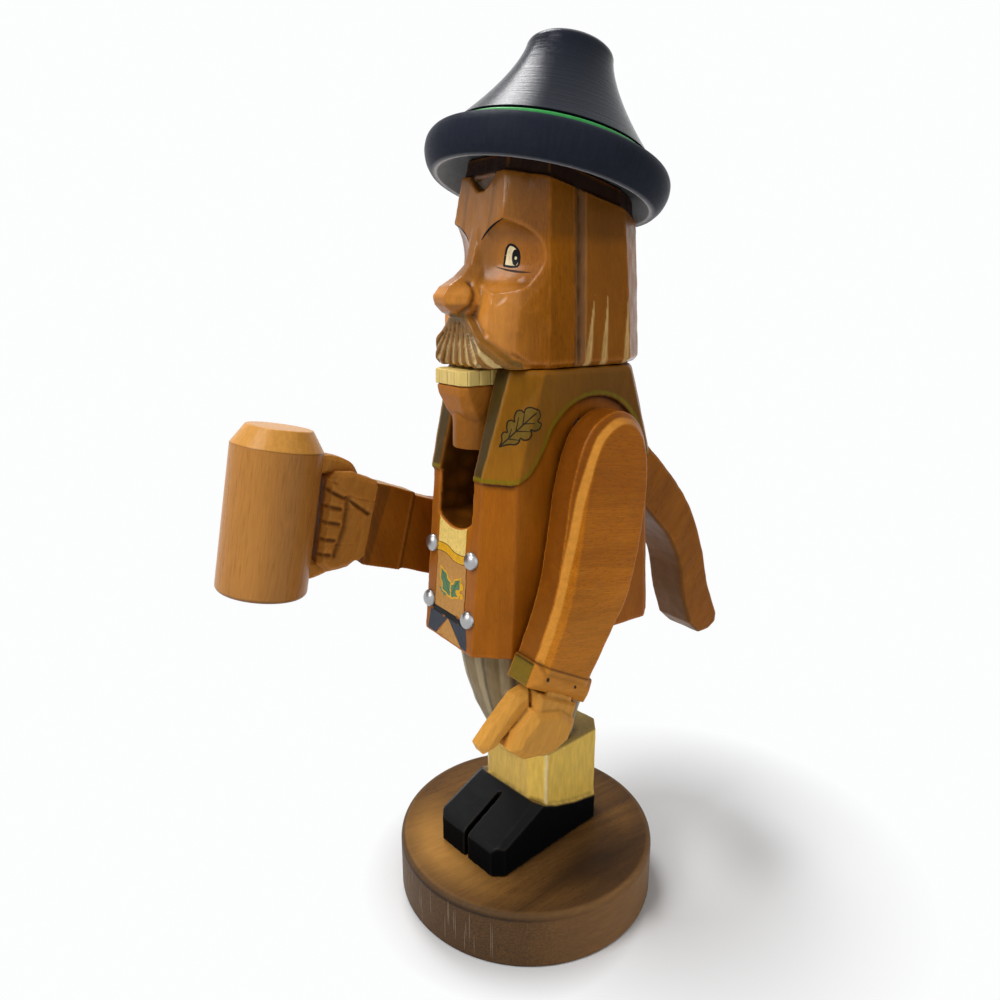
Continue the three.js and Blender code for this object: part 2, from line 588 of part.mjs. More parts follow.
// How far forward the head's surface stands at a place on the face.
function faceFront(x, z, grow) {
  const levels = headSections(grow);
  const upper = Math.max(1, levels.findIndex((level) => level.z >= z));
  const [low, high] = [levels[upper - 1], levels[upper]];
  const share = THREE.MathUtils.clamp((z - low.z) / (high.z - low.z), 0, 1);
  const half = low.points.slice(0, 4).map(([lx, ly], i) => {
    const [hx, hy] = high.points[i];
    return [lx + (hx - lx) * share, ly + (hy - ly) * share];
  });
  const reach = Math.abs(x);
  if (reach <= half[0][0]) return half[0][1];
  for (let i = 0; i + 1 < half.length; i++) {
    const [ax, ay] = half[i];
    const [bx, by] = half[i + 1];
    if (reach <= bx && bx > ax) return ay + (by - ay) * (reach - ax) / (bx - ax);
  }
  return half[2][1];
}
// A gouge that keeps to the face, in short strokes from one place to another.
function faceGouge(from, to, grow, width, depth, strokes) {
  const spot = (share) => {
    const x = from[0] + (to[0] - from[0]) * share;
    const z = from[1] + (to[1] - from[1]) * share;
    return [x, faceFront(x, z, grow), z];
  };
  const list = [];
  for (let i = 0; i < strokes; i++) {
    const a = spot(i / strokes);
    const b = spot((i + 1) / strokes + 0.02);
    const aside = (a[0] + b[0]) / 24;
    list.push(gouge(a, b, [THREE.MathUtils.clamp(aside, -1.2, 1.2), -1, 0], width, depth));
  }
  return list;
}
const onNeck = (body) => body.translate([0, 0, HEAD_BOTTOM]);
const tilted = (body) => body.rotate([-HAT_TILT, 0, 0]).translate([0, HAT_Y, HEAD_HEIGHT]);
const aboveHat = tilted(box([-FAR, -FAR, HAT_RECESS - SEAT_GAP], [FAR, FAR, FAR]));
const aboveHair = tilted(box([-FAR, -FAR, HAT_RECESS - HAIR_BAND], [FAR, FAR, FAR]));
// The eye hollows are scooped across each front corner, from the brow to the cheekbone
const eyeHollow = ellipsoid([19, 9, 9.7], 48, 24).rotate([0, 0, 28]).translate([13.6, -20.8, 27.4]);
function noseSection(z, tipHalf, tip, wingHalf, wing) {
  return { z, points: mirrored([[tipHalf, tip], [wingHalf, wing], [wingHalf + 0.6, -12]]) };
}
const nose = loft([
  noseSection(12.2, 2.2, -23.4, 3.4, -21), noseSection(13.6, 2.6, -26.6, 4.8, -22.8),
  noseSection(15.4, 2.6, -28.6, 5.5, -23.6), noseSection(17.6, 2.4, -29.2, 5.6, -23.6),
  noseSection(19.8, 2.3, -27.4, 5, -22), noseSection(22.2, 2.2, -23.2, 3.8, -19.6),
  noseSection(25.4, 1.5, -20, 2.6, -17.6), noseSection(34, 1.4, -17.6, 2.8, -15.6),
]);
const moustacheFan = prismY(mirrored([
  [3.4, 13], [7.2, 9.2], [15.6, 2.2], [17.4, 0],
]), -FAR, -9);
const moustache = headBlock(MOUSTACHE_RISE).intersect(moustacheFan);
const moustacheGouges = [];
for (let i = 0; i < STRAND_COUNT; i++) {
  const spread = (2 * i + 1) / STRAND_COUNT - 1;
  const lean = Math.abs(spread);
  moustacheGouges.push(...faceGouge(
    [spread * 7.2, 11.6 - 3.6 * lean], [spread * 15.8, 1.6 * lean * lean - 1.2],
    MOUSTACHE_RISE, 0.9, 0.8, 2));
}
const smileFolds = [-1, 1].flatMap((side) => faceGouge(
  [side * 4.4, 13.8], [side * 17.8, 1], 0.4, 0.6, 0.8, 3));
const hairLine = HEAD_HEIGHT + HAT_RECESS - HAIR_BAND
  + (HAT_Y - faceFront(0, HEAD_HEIGHT, 0)) * Math.tan(rad(HAT_TILT));
const widowsPeak = prismY([
  [7, hairLine + 2], [5.4, hairLine - 0.8], [3.4, hairLine - 3], [1.4, hairLine - 4.3],
  [-1.4, hairLine - 4.3], [-3.4, hairLine - 3], [-5.4, hairLine - 0.8], [-7, hairLine + 2],
], -FAR, faceFront(0, hairLine, 0) + HAIR_INSET + 0.4);
const templeGroove = gouge(
  [HEAD_HALF_WIDTH + 0.3, 0.6, -1], [HEAD_HALF_WIDTH - 2.7, 1.2, HEAD_HEIGHT + HAT_RECESS + 4],
  [1, 0, 0], 3, 1);
const hairGouges = [];
[[3.2, 5.9], [8.9, 10.3], [17, 17.6]].forEach(([foot, tip]) => {
  const from = [HEAD_HALF_WIDTH + 0.1, foot, -1];
  const to = [HEAD_HALF_WIDTH + 0.2, tip, 17.6];
  hairGouges.push(...bothSides(gouge(from, to, [1, 0, 0], 1.3, 0.9)));
});
[3, 8].forEach((x, i) => {
  const from = [x, HEAD_BACK + 0.1, -1];
  const to = [x, HEAD_BACK + 0.6, 15.4 + 2 * i];
  hairGouges.push(...bothSides(gouge(from, to, [0, 1, 0], 0.9, 0.7)));
});
const hatDowel = (grow) => onNeck(tilted(cylinder(
  SHOULDER_RADIUS + grow, HAT_RECESS - HAT_DOWEL_HALF - grow, HAT_RECESS + HAT_DOWEL_HALF + grow, 28)));
const carvedHead = cut(union([cut(headBlock(0), bothSides(eyeHollow)), nose, moustache]), [
  ...moustacheGouges, ...smileFolds, widowsPeak, ...bothSides(templeGroove), ...hairGouges,
]);
const hair = headBlock(-HAIR_INSET).intersect(aboveHair.translate([0, 0, -0.5])).subtract(aboveHat);
const head = onNeck(carvedHead.subtract(aboveHair).add(hair));
place('head', cut(head, [...headBores, hatDowel(BORE_CLEARANCE)]), 0xa8662a, 0.42);
place('hat_dowel', hatDowel(0), PALE_WOOD, 0.7);

// Hat: rolled brim, a ring groove, then a crown with hollow sides
const grooveTop = BRIM_THICKNESS + 2.1;
const crownShoulder = CROWN_HEIGHT - 2.4;
const crownSide = [];
for (let step = 0; step <= 6; step++) {
  const up = step / 6;
  crownSide.push([
    CROWN_TOP_RADIUS + (CROWN_FOOT_RADIUS - 0.1 - CROWN_TOP_RADIUS) * (1 - up) ** CROWN_HOLLOW,
    grooveTop + (crownShoulder - grooveTop) * up,
  ]);
}
const hatTurning = turned([
  [0, HAT_RECESS], [HAT_RECESS_RADIUS, HAT_RECESS], [BRIM_RADIUS - 4.3, 0.4], [BRIM_RADIUS - 2.9, 0.2],
  [BRIM_RADIUS - 1.1, 2.2], [BRIM_RADIUS - 0.1, 5], [BRIM_RADIUS - 0.2, 7.6], [BRIM_RADIUS - 1.3, 9.5],
  [BRIM_RADIUS - 3.1, BRIM_THICKNESS], [CROWN_FOOT_RADIUS + 0.6, BRIM_THICKNESS + 0.4],
  [CROWN_FOOT_RADIUS - 0.7, BRIM_THICKNESS + 0.5], [CROWN_FOOT_RADIUS - 0.7, BRIM_THICKNESS + 1.5],
  ...crownSide, [CROWN_TOP_RADIUS - 0.8, CROWN_HEIGHT - 1], [CROWN_TOP_RADIUS - 2.4, CROWN_HEIGHT - 0.2],
  [0, CROWN_HEIGHT],
], 52);
place('hat', onNeck(tilted(hatTurning)).subtract(hatDowel(BORE_CLEARANCE)), 0x2d303c, 0.38);

// All that lies on the sleeve's side of a cuff's end face, set off from it by the seat gap.
function behindCuff([front, back]) {
  const [fy, fz] = front;
  const [by, bz] = back;
  const length = Math.hypot(by - fy, bz - fz);
  const along = [(by - fy) / length, (bz - fz) / length];
  const away = [-along[1], along[0]];
  const corner = (base, reach, lift) => [
    base[0] + along[0] * reach + away[0] * lift, base[1] + along[1] * reach + away[1] * lift,
  ];
  return prismX([
    corner(front, -FAR, -SEAT_GAP), corner(back, FAR, -SEAT_GAP),
    corner(back, FAR, FAR), corner(front, -FAR, FAR),
  ], 0, 2 * FAR);
}

// Arms, drawn about the shoulder: bent boards, chamfered on the outer edge, with a stepped cuff
const atShoulder = (body) => body.translate([0, SHOULDER_Y, SHOULDER_Z]);
function armBoard(sleeve, cuff) {
  const board = prismX(sleeve, ARM_INNER, ARM_INNER + ARM_THICKNESS, ARM_CHAMFER, true);
  const band = prismX(cuff, ARM_INNER, ARM_INNER + ARM_THICKNESS + CUFF_RISE, ARM_CHAMFER - CUFF_RISE, true);
  return board.add(band);
}
const shoulderTop = [[-9.4, 8], [-4.8, 12.2], [0.4, 13.8], [5.6, 12.4], [9.8, 7.6], [12.2, -3]];
const leftSleeve = smooth([
  [-28, -53.8], [-25.2, -48.7], [-18.8, -33], [-16, -18.3], [-13.8, -4], ...shoulderTop, [10.6, -21],
  [6.6, -37.6], [1.6, -45.8], [-6.6, -59], [-9.2, -63.6],
], 40).reverse();
const leftCuffEnd = [[-28.7, -54.4], [-9, -65.2]];
const leftCuff = [[-25.8, -48.4], ...leftCuffEnd, [-6, -59.2]];
const armBore = crosswise(
  SHOULDER_RADIUS + TURN_CLEARANCE, 0, ARM_INNER + SHOULDER_DEPTH + TURN_CLEARANCE, 32);
const leftTenon = (grow) => prismX([
  [-22.6 - grow, -59.4], [-14.2 + grow, -64], [-10.2 + grow, -56.8 + grow], [-18.6 - grow, -52.2 + grow],
], HAND_MIDDLE - WRIST_HALF - grow, HAND_MIDDLE + WRIST_HALF + grow);
place('left_arm', atShoulder(cut(armBoard(leftSleeve, leftCuff), [
  armBore, leftTenon(BORE_CLEARANCE),
])), 0xab6a2c, 0.45);

// Left hand: wrist, closed fingers and a thumb pointing down to the front
const leftWrist = prismX(
  [[-24.6, -57.4], [-26.4, -64.6], [-14, -71], [-11.6, -64.4]], HAND_MIDDLE - 4.2, HAND_MIDDLE + 4.2, 1);
const leftFist = prismX([
  [-26.6, -61.6], [-32.6, -66.4], [-34.4, -70.4], [-30, -74.4], [-21, -76], [-15.4, -74], [-12.8, -68.4],
  [-18, -63.8],
], HAND_MIDDLE - 5.6, HAND_MIDDLE + 6, 2);
const leftThumb = prismX([
  [-25.4, -57], [-29.8, -57.8], [-35.8, -63.2], [-41.2, -68.6], [-40, -71.4], [-36.2, -70.6], [-30.6, -66],
  [-25, -63],
], HAND_MIDDLE - 4.8, HAND_MIDDLE + 1.6, 1.6);
const fingerLines = [0, 1, 2].map((i) => gouge(
  [HAND_MIDDLE + 6.1, -27.6 + 4.6 * i, -77.4], [HAND_MIDDLE + 6.3, -24.4 + 4.2 * i, -68.6],
  [1, 0, 0], 0.6, 0.6));
const leftHandCarving = union([leftWrist, leftFist, leftThumb]).subtract(behindCuff(leftCuffEnd));
place('left_hand', atShoulder(cut(leftHandCarving.add(leftTenon(0)), fingerLines)), 0xad6f33, 0.5);

// Right arm: the same shoulder, bent at the elbow, forearm raised to the front
const rightSleeve = smooth([
  [-44.6, -9.6], [-31.8, -13.8], [-20, -17.8], [-14.6, -17.4], [-13, -12], [-12, -2], ...shoulderTop,
  [11.8, -20], [8.8, -36], [2, -44.6], [-8, -46.2], [-22, -41.2], [-37.6, -35], [-49, -31],
], 44).reverse();
const rightCuffEnd = [[-44.7, -8.3], [-49.5, -31.6]];
const rightCuff = [...rightCuffEnd, [-37.5, -35.8], [-31.5, -13.1]];
const rightTenon = (grow) => prismX([
  [-48 - grow, -16.6 + grow], [-51 - grow, -24.6 - grow],
  [-41.4 + grow, -28.2 - grow], [-38.4 + grow, -20.2 + grow],
], HAND_MIDDLE - WRIST_HALF - grow, HAND_MIDDLE + WRIST_HALF + grow);
place('right_arm', flipX(atShoulder(cut(armBoard(rightSleeve, rightCuff), [
  armBore, rightTenon(BORE_CLEARANCE),
]))), WOOD, 0.45);

// Stein, its bent handle and the fist round it, drawn about the middle of the stein's back wall
const atGrip = (body) => body.rotate([-STEIN_LEAN, 0, 0])
  .translate([-HAND_MIDDLE, SHOULDER_Y - GRIP_REACH, SHOULDER_Z - GRIP_DROP]);
const steinHalf = STEIN_HEIGHT / 2;
const steinTurning = turned([
  [0, -steinHalf], [STEIN_RADIUS - 0.9, -steinHalf], [STEIN_RADIUS, -steinHalf + 0.9],
  [STEIN_RADIUS, steinHalf - STEIN_LIP_HEIGHT], [STEIN_RADIUS - STEIN_LIP, steinHalf], [0, steinHalf],
], 56).translate([0, -STEIN_RADIUS, 0]);
const handleTop = steinHalf - STEIN_LIP_HEIGHT - 1.6;
const handleFoot = 6.4 - steinHalf;
const steinHandle = (grow) => atGrip(strap([
  [-3.1, handleTop], [0.9, handleTop + 0.3], [7.3, handleTop - 3.1], [10.9, 5], [10.5, -5],
  [6.1, handleFoot + 3.1], [0.3, handleFoot - 0.1], [-3.5, handleFoot],
], HANDLE_WIDTH + 2 * grow, HANDLE_THICKNESS + 2 * grow, 1, 30));
place('stein', atGrip(steinTurning).subtract(steinHandle(BORE_CLEARANCE)), 0xa4652a, 0.42);
place('stein_handle', steinHandle(0), 0xa97036, 0.5);

const fistBlock = prismX([
  [0.8, 9.6], [0.8, -13.6], [3.9, -16], [9.9, -14.6], [15.3, -10], [18.9, -5], [21.3, 2], [18.9, 7.2],
  [12.9, 9.4],
], -6, 6, 1.4);
const thumbBlock = prismX([
  [0.8, 9.2], [2.9, 11.6], [7.9, 12.4], [13.9, 10.6], [19.3, 6], [15.9, 2.4], [7.9, 5],
], -2.2, 6.2, 1.2);
const fingerTops = [-8.4, -3.4, 1.6].map((z) => gouge(
  [6.2, -1.1, z], [6.2, 10.5, z + 0.6], [1, 0, 0], 0.7, 1));
const fingerEnds = gouge([6.2, 10.9, -14.6], [6.2, 11.9, 4.6], [1, 0, 0], 1, 1);
const thumbLine = gouge([6.3, 1.9, 6.4], [6.3, 16.9, 4.2], [1, 0.1, 0], 0.7, 1);
const steinWay = cylinder(STEIN_RADIUS + SEAT_GAP, -STEIN_HEIGHT, STEIN_HEIGHT, 56)
  .translate([0, -STEIN_RADIUS, 0]);
const fist = atGrip(cut(fistBlock.add(thumbBlock), [...fingerTops, fingerEnds, thumbLine, steinWay]));
const rightHandCarving = fist.subtract(flipX(atShoulder(behindCuff(rightCuffEnd))));
const rightHand = rightHandCarving.add(flipX(atShoulder(rightTenon(0))));
place('right_hand', cut(rightHand, [steinHandle(TURN_CLEARANCE)]), 0xad6f33, 0.5);

export default part;
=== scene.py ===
"""Looks of a carved and painted wooden nutcracker, built round its CAD frame."""

import json
import math

import bmesh
import bpy
import numpy as np
from bpy.props import FloatProperty, FloatVectorProperty, IntProperty, PointerProperty
from mathutils import Matrix, Vector
from mathutils.bvhtree import BVHTree
from mathutils.geometry import delaunay_2d_cdt


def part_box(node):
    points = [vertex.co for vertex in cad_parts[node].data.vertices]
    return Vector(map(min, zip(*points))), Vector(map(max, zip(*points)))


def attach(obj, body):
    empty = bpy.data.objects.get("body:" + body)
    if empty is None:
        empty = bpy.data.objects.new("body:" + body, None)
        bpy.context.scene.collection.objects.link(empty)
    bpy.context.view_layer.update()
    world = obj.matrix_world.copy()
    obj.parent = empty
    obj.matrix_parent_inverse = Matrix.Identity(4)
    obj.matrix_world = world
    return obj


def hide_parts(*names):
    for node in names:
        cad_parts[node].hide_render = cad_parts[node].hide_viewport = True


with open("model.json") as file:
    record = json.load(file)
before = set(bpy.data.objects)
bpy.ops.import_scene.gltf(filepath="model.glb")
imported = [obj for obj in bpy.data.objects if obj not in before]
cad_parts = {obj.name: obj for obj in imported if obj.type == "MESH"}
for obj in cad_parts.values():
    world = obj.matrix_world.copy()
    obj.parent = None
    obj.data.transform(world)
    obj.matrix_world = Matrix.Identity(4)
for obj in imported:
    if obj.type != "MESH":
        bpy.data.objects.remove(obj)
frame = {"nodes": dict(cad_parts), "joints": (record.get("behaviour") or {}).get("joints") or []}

bl_info = {
    "name": "Carved nutcracker",
    "version": (1, 0, 0),
    "blender": (4, 5, 0),
    "location": "View3D > Sidebar > Nutcracker",
    "description": "Carves, paints and lights a wooden nutcracker figure",
    "category": "Object",
}

MM = 0.001

LOW, HIGH = 0, 1
X, Y, Z = 0, 1, 2


def edge_of(node, side, axis):
    """A CAD node's low or high edge along an axis, in millimetres."""
    return round(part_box(node)[side][axis] / MM, 3)


def joint_place(name):
    """Where a joint's axis lies, in millimetres."""
    joint = next(joint for joint in frame["joints"] if joint["name"] == name)
    return tuple(round(part / MM, 3) for part in joint["pos_m"])


# Levels and places taken from the frame, in millimetres
STAND_TOP = edge_of("base_disc", HIGH, Z)
STAND_RADIUS = edge_of("base_disc", HIGH, X)
SHOE_FLOOR = edge_of("legs", LOW, Z)
HEM = edge_of("torso", LOW, Z)
STRIP_FOOT = edge_of("torso", LOW, Y)
HEAD_FOOT = edge_of("head", LOW, Z)
SHOULDER = joint_place("left_shoulder")[1:]
STEIN_RADIUS = (edge_of("stein", HIGH, X) - edge_of("stein", LOW, X)) / 2
NAIL_X = (edge_of("button_upper_left", HIGH, X) + edge_of("button_upper_left", LOW, X)) / 2
NAIL_RADIUS = (edge_of("button_upper_left", HIGH, X) - edge_of("button_upper_left", LOW, X)) / 2

# Levels, places and angles that the frame's boxes don't give
STOCKING_TOP = 49.6
LEG_TURN = math.radians(7.5)
LAPEL_FOOT = 136.0
SLOT_HALF = 8.2
SLOT_ARC_HEIGHT = 135.5
SLOT_ARC_RADIUS = 14.0
ARCH_RADIUS = 17.0
STRIP_CHEST = -24.2
HAT_LEAN = math.radians(-13.8)
HAT_PLACE = (0.0, 3.4, 207.0)
STEIN_LEAN = math.radians(-11.0)
STEIN_GRIP = (-26.1, -54.7, 124.7)
STEIN_HEIGHT = 45.0
NAIL_HEIGHTS = (114.7, 98.3)
NAIL_DOME = 1.8
NAIL_EDGE = 0.35
WELL_RADIUS = 4.15
WELL_BORE = 2.15
SCRATCHES = 42
SCRATCH_SEED = 7
BOARD_REACH = 9.0
SHARP_EDGE = math.radians(50)

# The way in which the stein's painted shade deepens, by x and y: towards the camera's right
STEIN_PAINTED_SHADE_SIDE = (0.58, 0.82)

# The line across each cuff, by the figure's y and z, and the way from there to the hand
CUFFS = {
    "left": (((-19.8, 91.6), (0.0, 80.8)), (-0.48, -0.88)),
    "right": (((-25.5, 126.9), (-31.5, 104.2)), (-0.97, 0.25)),
}
CUFF_LEAN = 2.6
SLEEVE_STRIP_HALF = 0.85
FINGER_DEPTH = 0.8
GRIP_RISE = 0.9
HANDLE_DROP = 2.4

# Levels of the vest's painted panel and darts, and the cord across it
DART_FOOT = 89.2
DART_TOP = 95.3
BAND_FOOT = 95.2
PANEL_FOOT = 97.2
PANEL_HALF = 7.6
BAND_HALF = 8.4
CORD_HALF = 1.15
CORD_KNOTS = ((-8.4, 114.4), (-5, 114.8), (-2.2, 114.6), (1, 113.6), (4.4, 113.5), (8, 114.1))

# Foot, tip and fullness of the sprig's leaves, its ribs and the panel's edges with their half widths, and
# middle and half sizes of its petals
SPRIG_LEAVES = (
    ((0.0, 101.6), (-5.4, 109.2), 2.9), ((0.5, 101.6), (4.9, 108.4), 2.5),
    ((-1.4, 101.8), (-5.6, 103.0), 1.1),
)
PANEL_LINES = (
    (((-0.2, 102.8), (-2.6, 105.8), (-4.6, 108.2)), 0.14), (((0.8, 102.8), (2.6, 105.6), (4.2, 108.2)), 0.14),
    (((7.7, 97.4), (7.5, 104), (7.3, 112)), 0.14), (((-7.7, 97.4), (-7.6, 104), (-7.4, 112)), 0.1),
)
SPRIG_PETALS = ((5.5, 106.2, 0.9, 1.1), (4.0, 104.0, 1.2, 0.9), (5.8, 103.6, 0.8, 0.9))

# One half of the gouged moustache's outline, the hair's peak on the brow and the wing of the nose
FAN_HALF = ((3.4, 13.2), (7.2, 9.4), (15.6, 2.4), (17, 1.4), (19, -1))
PEAK_HALF = ((1.4, 42.7), (3.4, 44), (5.4, 46.2), (7, 49))
NOSE_WING = ((-22.2, 185.2), (-21.9, 182.4), (-22.8, 180.0), (-24.4, 178.2))

# Middles and radii of the gouge marks on a cheek
CHEEK_MARKS = (
    ((13.9, -17.8, 177.9), 2.8), ((11.4, -19.2, 182.0), 2.4), ((17.1, -13.5, 181.2), 2.8),
    ((15.8, -16.6, 171.4), 2.8), ((14.6, -13.2, 185.0), 2.2),
)

# Outline of an eye, the crease under it and the line of its brow
EYE = (
    (-2.7, -2.4), (-0.6, -2.75), (1.55, -2.55), (1.95, -1), (1.8, 0.7), (1.25, 1.9), (0.3, 2.75),
    (-0.9, 3.05), (-1.7, 2.4), (-2.2, 1.3), (-2.55, -0.6),
)
EYE_CREASE = ((-4.5, -2.5), (-0.8, -3.35), (2.4, -3.75), (5.6, -3.9))
BROW = ((3, -18, 195.6), (5.1, -17.6, 197.5), (7.8, -17.2, 199.1), (10.8, -16.8, 200.2))

# Outlines of a shoe from its side and of an oak leaf with its veins
SHOE = [
    (-27, -1), (24, -1), (24, 8), (16.6, 8.5), (7.5, 10.5), (-0.5, 13.3), (-8.4, 17.2), (-9.4, 18.5),
    (-27, 12),
]
OAK_LEAF = (
    (0, 0), (1.5, 0.7), (2.3, 1.8), (3.4, 2.0), (3.9, 1.3), (4.6, 2.4), (5.8, 3.3), (6.8, 2.8), (7.0, 2.0),
    (7.8, 3.0), (9.2, 3.7), (10.2, 3.0), (10.3, 2.1), (11.3, 2.6), (12.4, 2.0), (13.0, 1.0), (13.4, 0.0),
    (12.6, -1.2), (11.4, -1.6), (11.6, -2.6), (10.4, -3.3), (9.2, -2.9), (8.8, -2.1), (8.2, -3.2),
    (6.8, -3.6), (5.8, -2.9), (5.5, -2.0), (4.6, -2.5), (3.4, -2.3), (2.4, -1.3), (1.4, -0.7),
)
OAK_VEINS = (
    ((3.2, 0), (5.4, 1.3)), ((5.6, 0), (8.6, 2.2)), ((8, 0), (10.7, 2.3)),
    ((3, 0), (5.0, -2.3)), ((5.8, 0), (8.6, -2.6)), ((8.6, 0), (10.6, -1.7)),
)

# Lines between the fingers and along the thumb of the right fist, with their half widths
FINGER_LINES = (
    ((-2, 3.2), (5.4, 2.1), 0.7), ((-2, -1.3), (5.6, -2.2), 0.7), ((-2, -6.2), (5, -6.9), 0.7),
    ((-2, -10.8), (4, -11), 0.7), ((-1, 7.8), (6.6, 4.9), 0.6), ((6.5, 5.4), (12.9, 1.1), 0.6),
    ((7.2, 4.9), (7.0, -3.6), 1.0), ((7.0, -3.6), (5.1, -11), 1.0),
)

# The camera's axes, place and lens, fitted to the photograph's outlines
CAMERA_RIGHT = Vector((0.5782, 0.8159, -0.0001))
CAMERA_UP = Vector((-0.2127, 0.1508, 0.9654))
CAMERA_BACK = Vector((0.7877, -0.5582, 0.2607))
CAMERA_PLACE = Vector((171.06, -131.35, 183.38))
CAMERA_LENS = 27.89

# The place that the lamps aim at, and the middles of the floor's shaded patches with the radii at which
# each starts to fade and is plain white, all in metres
LAMP_AIM = Vector((0, 0, 0.12))
FLOOR_SHADE = (((0.024, 0.046, 0), 0.03, 0.08), ((0, 0, 0), 0.041, 0.053))

# Stains and paints laid over the wood, with painted light and painted shade among them, as screen colours
STAINS_AND_PAINTED_LIGHT = {
    "stand wall": (54, 40, 29), "end grain": (31, 28, 28), "side grain": (158, 114, 68),
    "stand spill": (50, 33, 20), "stand bright": (200, 144, 70), "stand edge": (72, 50, 34),
    "stand rim": (140, 104, 64),
    "stocking": (216, 178, 92), "stocking side": (250, 208, 94), "stocking ledge": (176, 154, 92),
    "stocking corner": (246, 226, 172), "dark stripe": (84, 74, 60),
    "lapel rubbed": (172, 112, 30), "collar back": (78, 48, 6), "lapel band": (50, 46, 22),
    "band edge": (170, 142, 82), "collar line": (34, 22, 12), "slot wall": (38, 16, 5),
    "strip edge": (150, 88, 36),
    "face front": (218, 142, 56), "cheek": (236, 160, 74), "forehead": (116, 76, 38),
    "under nose": (88, 52, 20), "nostril": (92, 52, 18), "gouge wall": (74, 56, 28),
    "gouge floor": (226, 196, 134), "side hair": (140, 88, 36), "temple": (120, 88, 58),
    "temple line": (66, 38, 16), "temple edge": (178, 140, 96), "hat shade": (84, 52, 16),
    "hair peak": (84, 58, 30), "hair sliver": (218, 178, 112),
    "chin": (196, 128, 56), "neck": (104, 64, 24), "lever front": (96, 76, 52),
    "teeth": (224, 194, 112),
    "ring shade": (20, 58, 42), "crevice": (8, 9, 12), "brim underside": (216, 220, 224),
    "brim edge": (44, 47, 57),
    "upper sleeve": (140, 68, 2), "lower sleeve": (232, 158, 64), "sleeve strip": (232, 160, 66),
    "strip shade": (104, 52, 10), "sleeve front": (96, 46, 9), "cuff edge": (104, 94, 26),
    "right sleeve": (96, 54, 12), "right cuff end": (70, 46, 20), "forearm top": (206, 152, 80),
    "right cuff rim": (176, 116, 52), "cuff face": (206, 142, 62), "cuff shade": (36, 30, 14),
    "cuff line": (54, 30, 12), "right hand": (170, 108, 40), "finger line": (104, 62, 26),
    "left hand": (244, 178, 80),
    "stein shade": (110, 64, 16), "stein top": (228, 162, 74), "stein foot": (80, 48, 20),
    "brown line": (62, 40, 22), "leaf line": (36, 25, 4), "eye white": (236, 216, 172),
    "yellow film": (226, 168, 34), "tan film": (188, 136, 70), "green leaf": (84, 124, 88),
    "oak leaf": (110, 84, 22), "dust": (134, 116, 98),
}

# How each kind of streak is drawn out along the grain, with its scale per millimetre
GRAIN = {
    "bands": {"stretch": 0.09, "scale": 0.16, "detail": 4.0, "distortion": 0.8},
    "fibre": {"stretch": 0.07, "scale": 2.6, "detail": 3.0},
    "pores": {"stretch": 0.14, "scale": 4.2, "detail": 1.0},
    "patch": {"stretch": 0.5, "scale": 0.055, "detail": 3.0},
    "brush": {"stretch": 0.2, "scale": 0.9, "detail": 3.0},
    "film": {"stretch": 0.6, "scale": 1.4, "detail": 3.0},
    "smear": {"stretch": 1.0, "scale": 0.8, "detail": 3.0},
}


def srgb(red, green, blue):
    """A screen colour, 0 to 255, as scene-linear values."""
    def linear(value):
        share = value / 255
        return share / 12.92 if share <= 0.04045 else ((share + 0.055) / 1.055) ** 2.4

    return (linear(red), linear(green), linear(blue))


def stain(colour):
    """Scene-linear values of a palette colour, or of a stain, paint, painted light or painted shade given by
    its name.
    """
    return srgb(*STAINS_AND_PAINTED_LIGHT[colour]) if isinstance(colour, str) else tuple(colour)[:3]


def opaque(colour):
    return (*stain(colour), 1.0)


def colour_property(name, description, red, green, blue):
    return FloatVectorProperty(
        name=name, description=description, subtype="COLOR", size=3, min=0.0, max=1.0,
        default=srgb(red, green, blue),
    )


class NutcrackerCarving(bpy.types.PropertyGroup):
    """How finely the blanks are cut and how soft the tools leave them."""

    voxel: FloatProperty(
        name="Cut", description="Grain of the carved surface on the jacket", default=0.5 * MM,
        unit="LENGTH")
    fine_voxel: FloatProperty(
        name="Fine cut", description="Grain of the carved surface on head, sleeves, legs and lever",
        default=0.395 * MM, unit="LENGTH")
    hand_voxel: FloatProperty(
        name="Hand cut", description="Grain of the carved surface on hands and handle",
        default=0.26 * MM, unit="LENGTH")
    teeth_voxel: FloatProperty(
        name="Teeth cut", description="Grain of the carved surface on the teeth",
        default=0.18 * MM, unit="LENGTH")
    lathe_step: FloatProperty(
        name="Lathe step", description="Length by which wear on turned pieces is measured",
        default=1.0 * MM, unit="LENGTH")
    soften: IntProperty(
        name="Sanding", description="Passes that round the edges over", default=2)
    mark_depth: FloatProperty(
        name="Tool marks", description="Depth of the knife's marks", default=0.2 * MM, unit="LENGTH")
    mark_size: FloatProperty(
        name="Mark size", description="Width of the knife's marks", default=5.0 * MM, unit="LENGTH")
    film: FloatProperty(
        name="Paint film", description="Thickness of painted lines", default=0.1 * MM, unit="LENGTH")
    brush_step: FloatProperty(
        name="Brush step", description="Length of a painted line's pieces", default=0.25 * MM, unit="LENGTH")


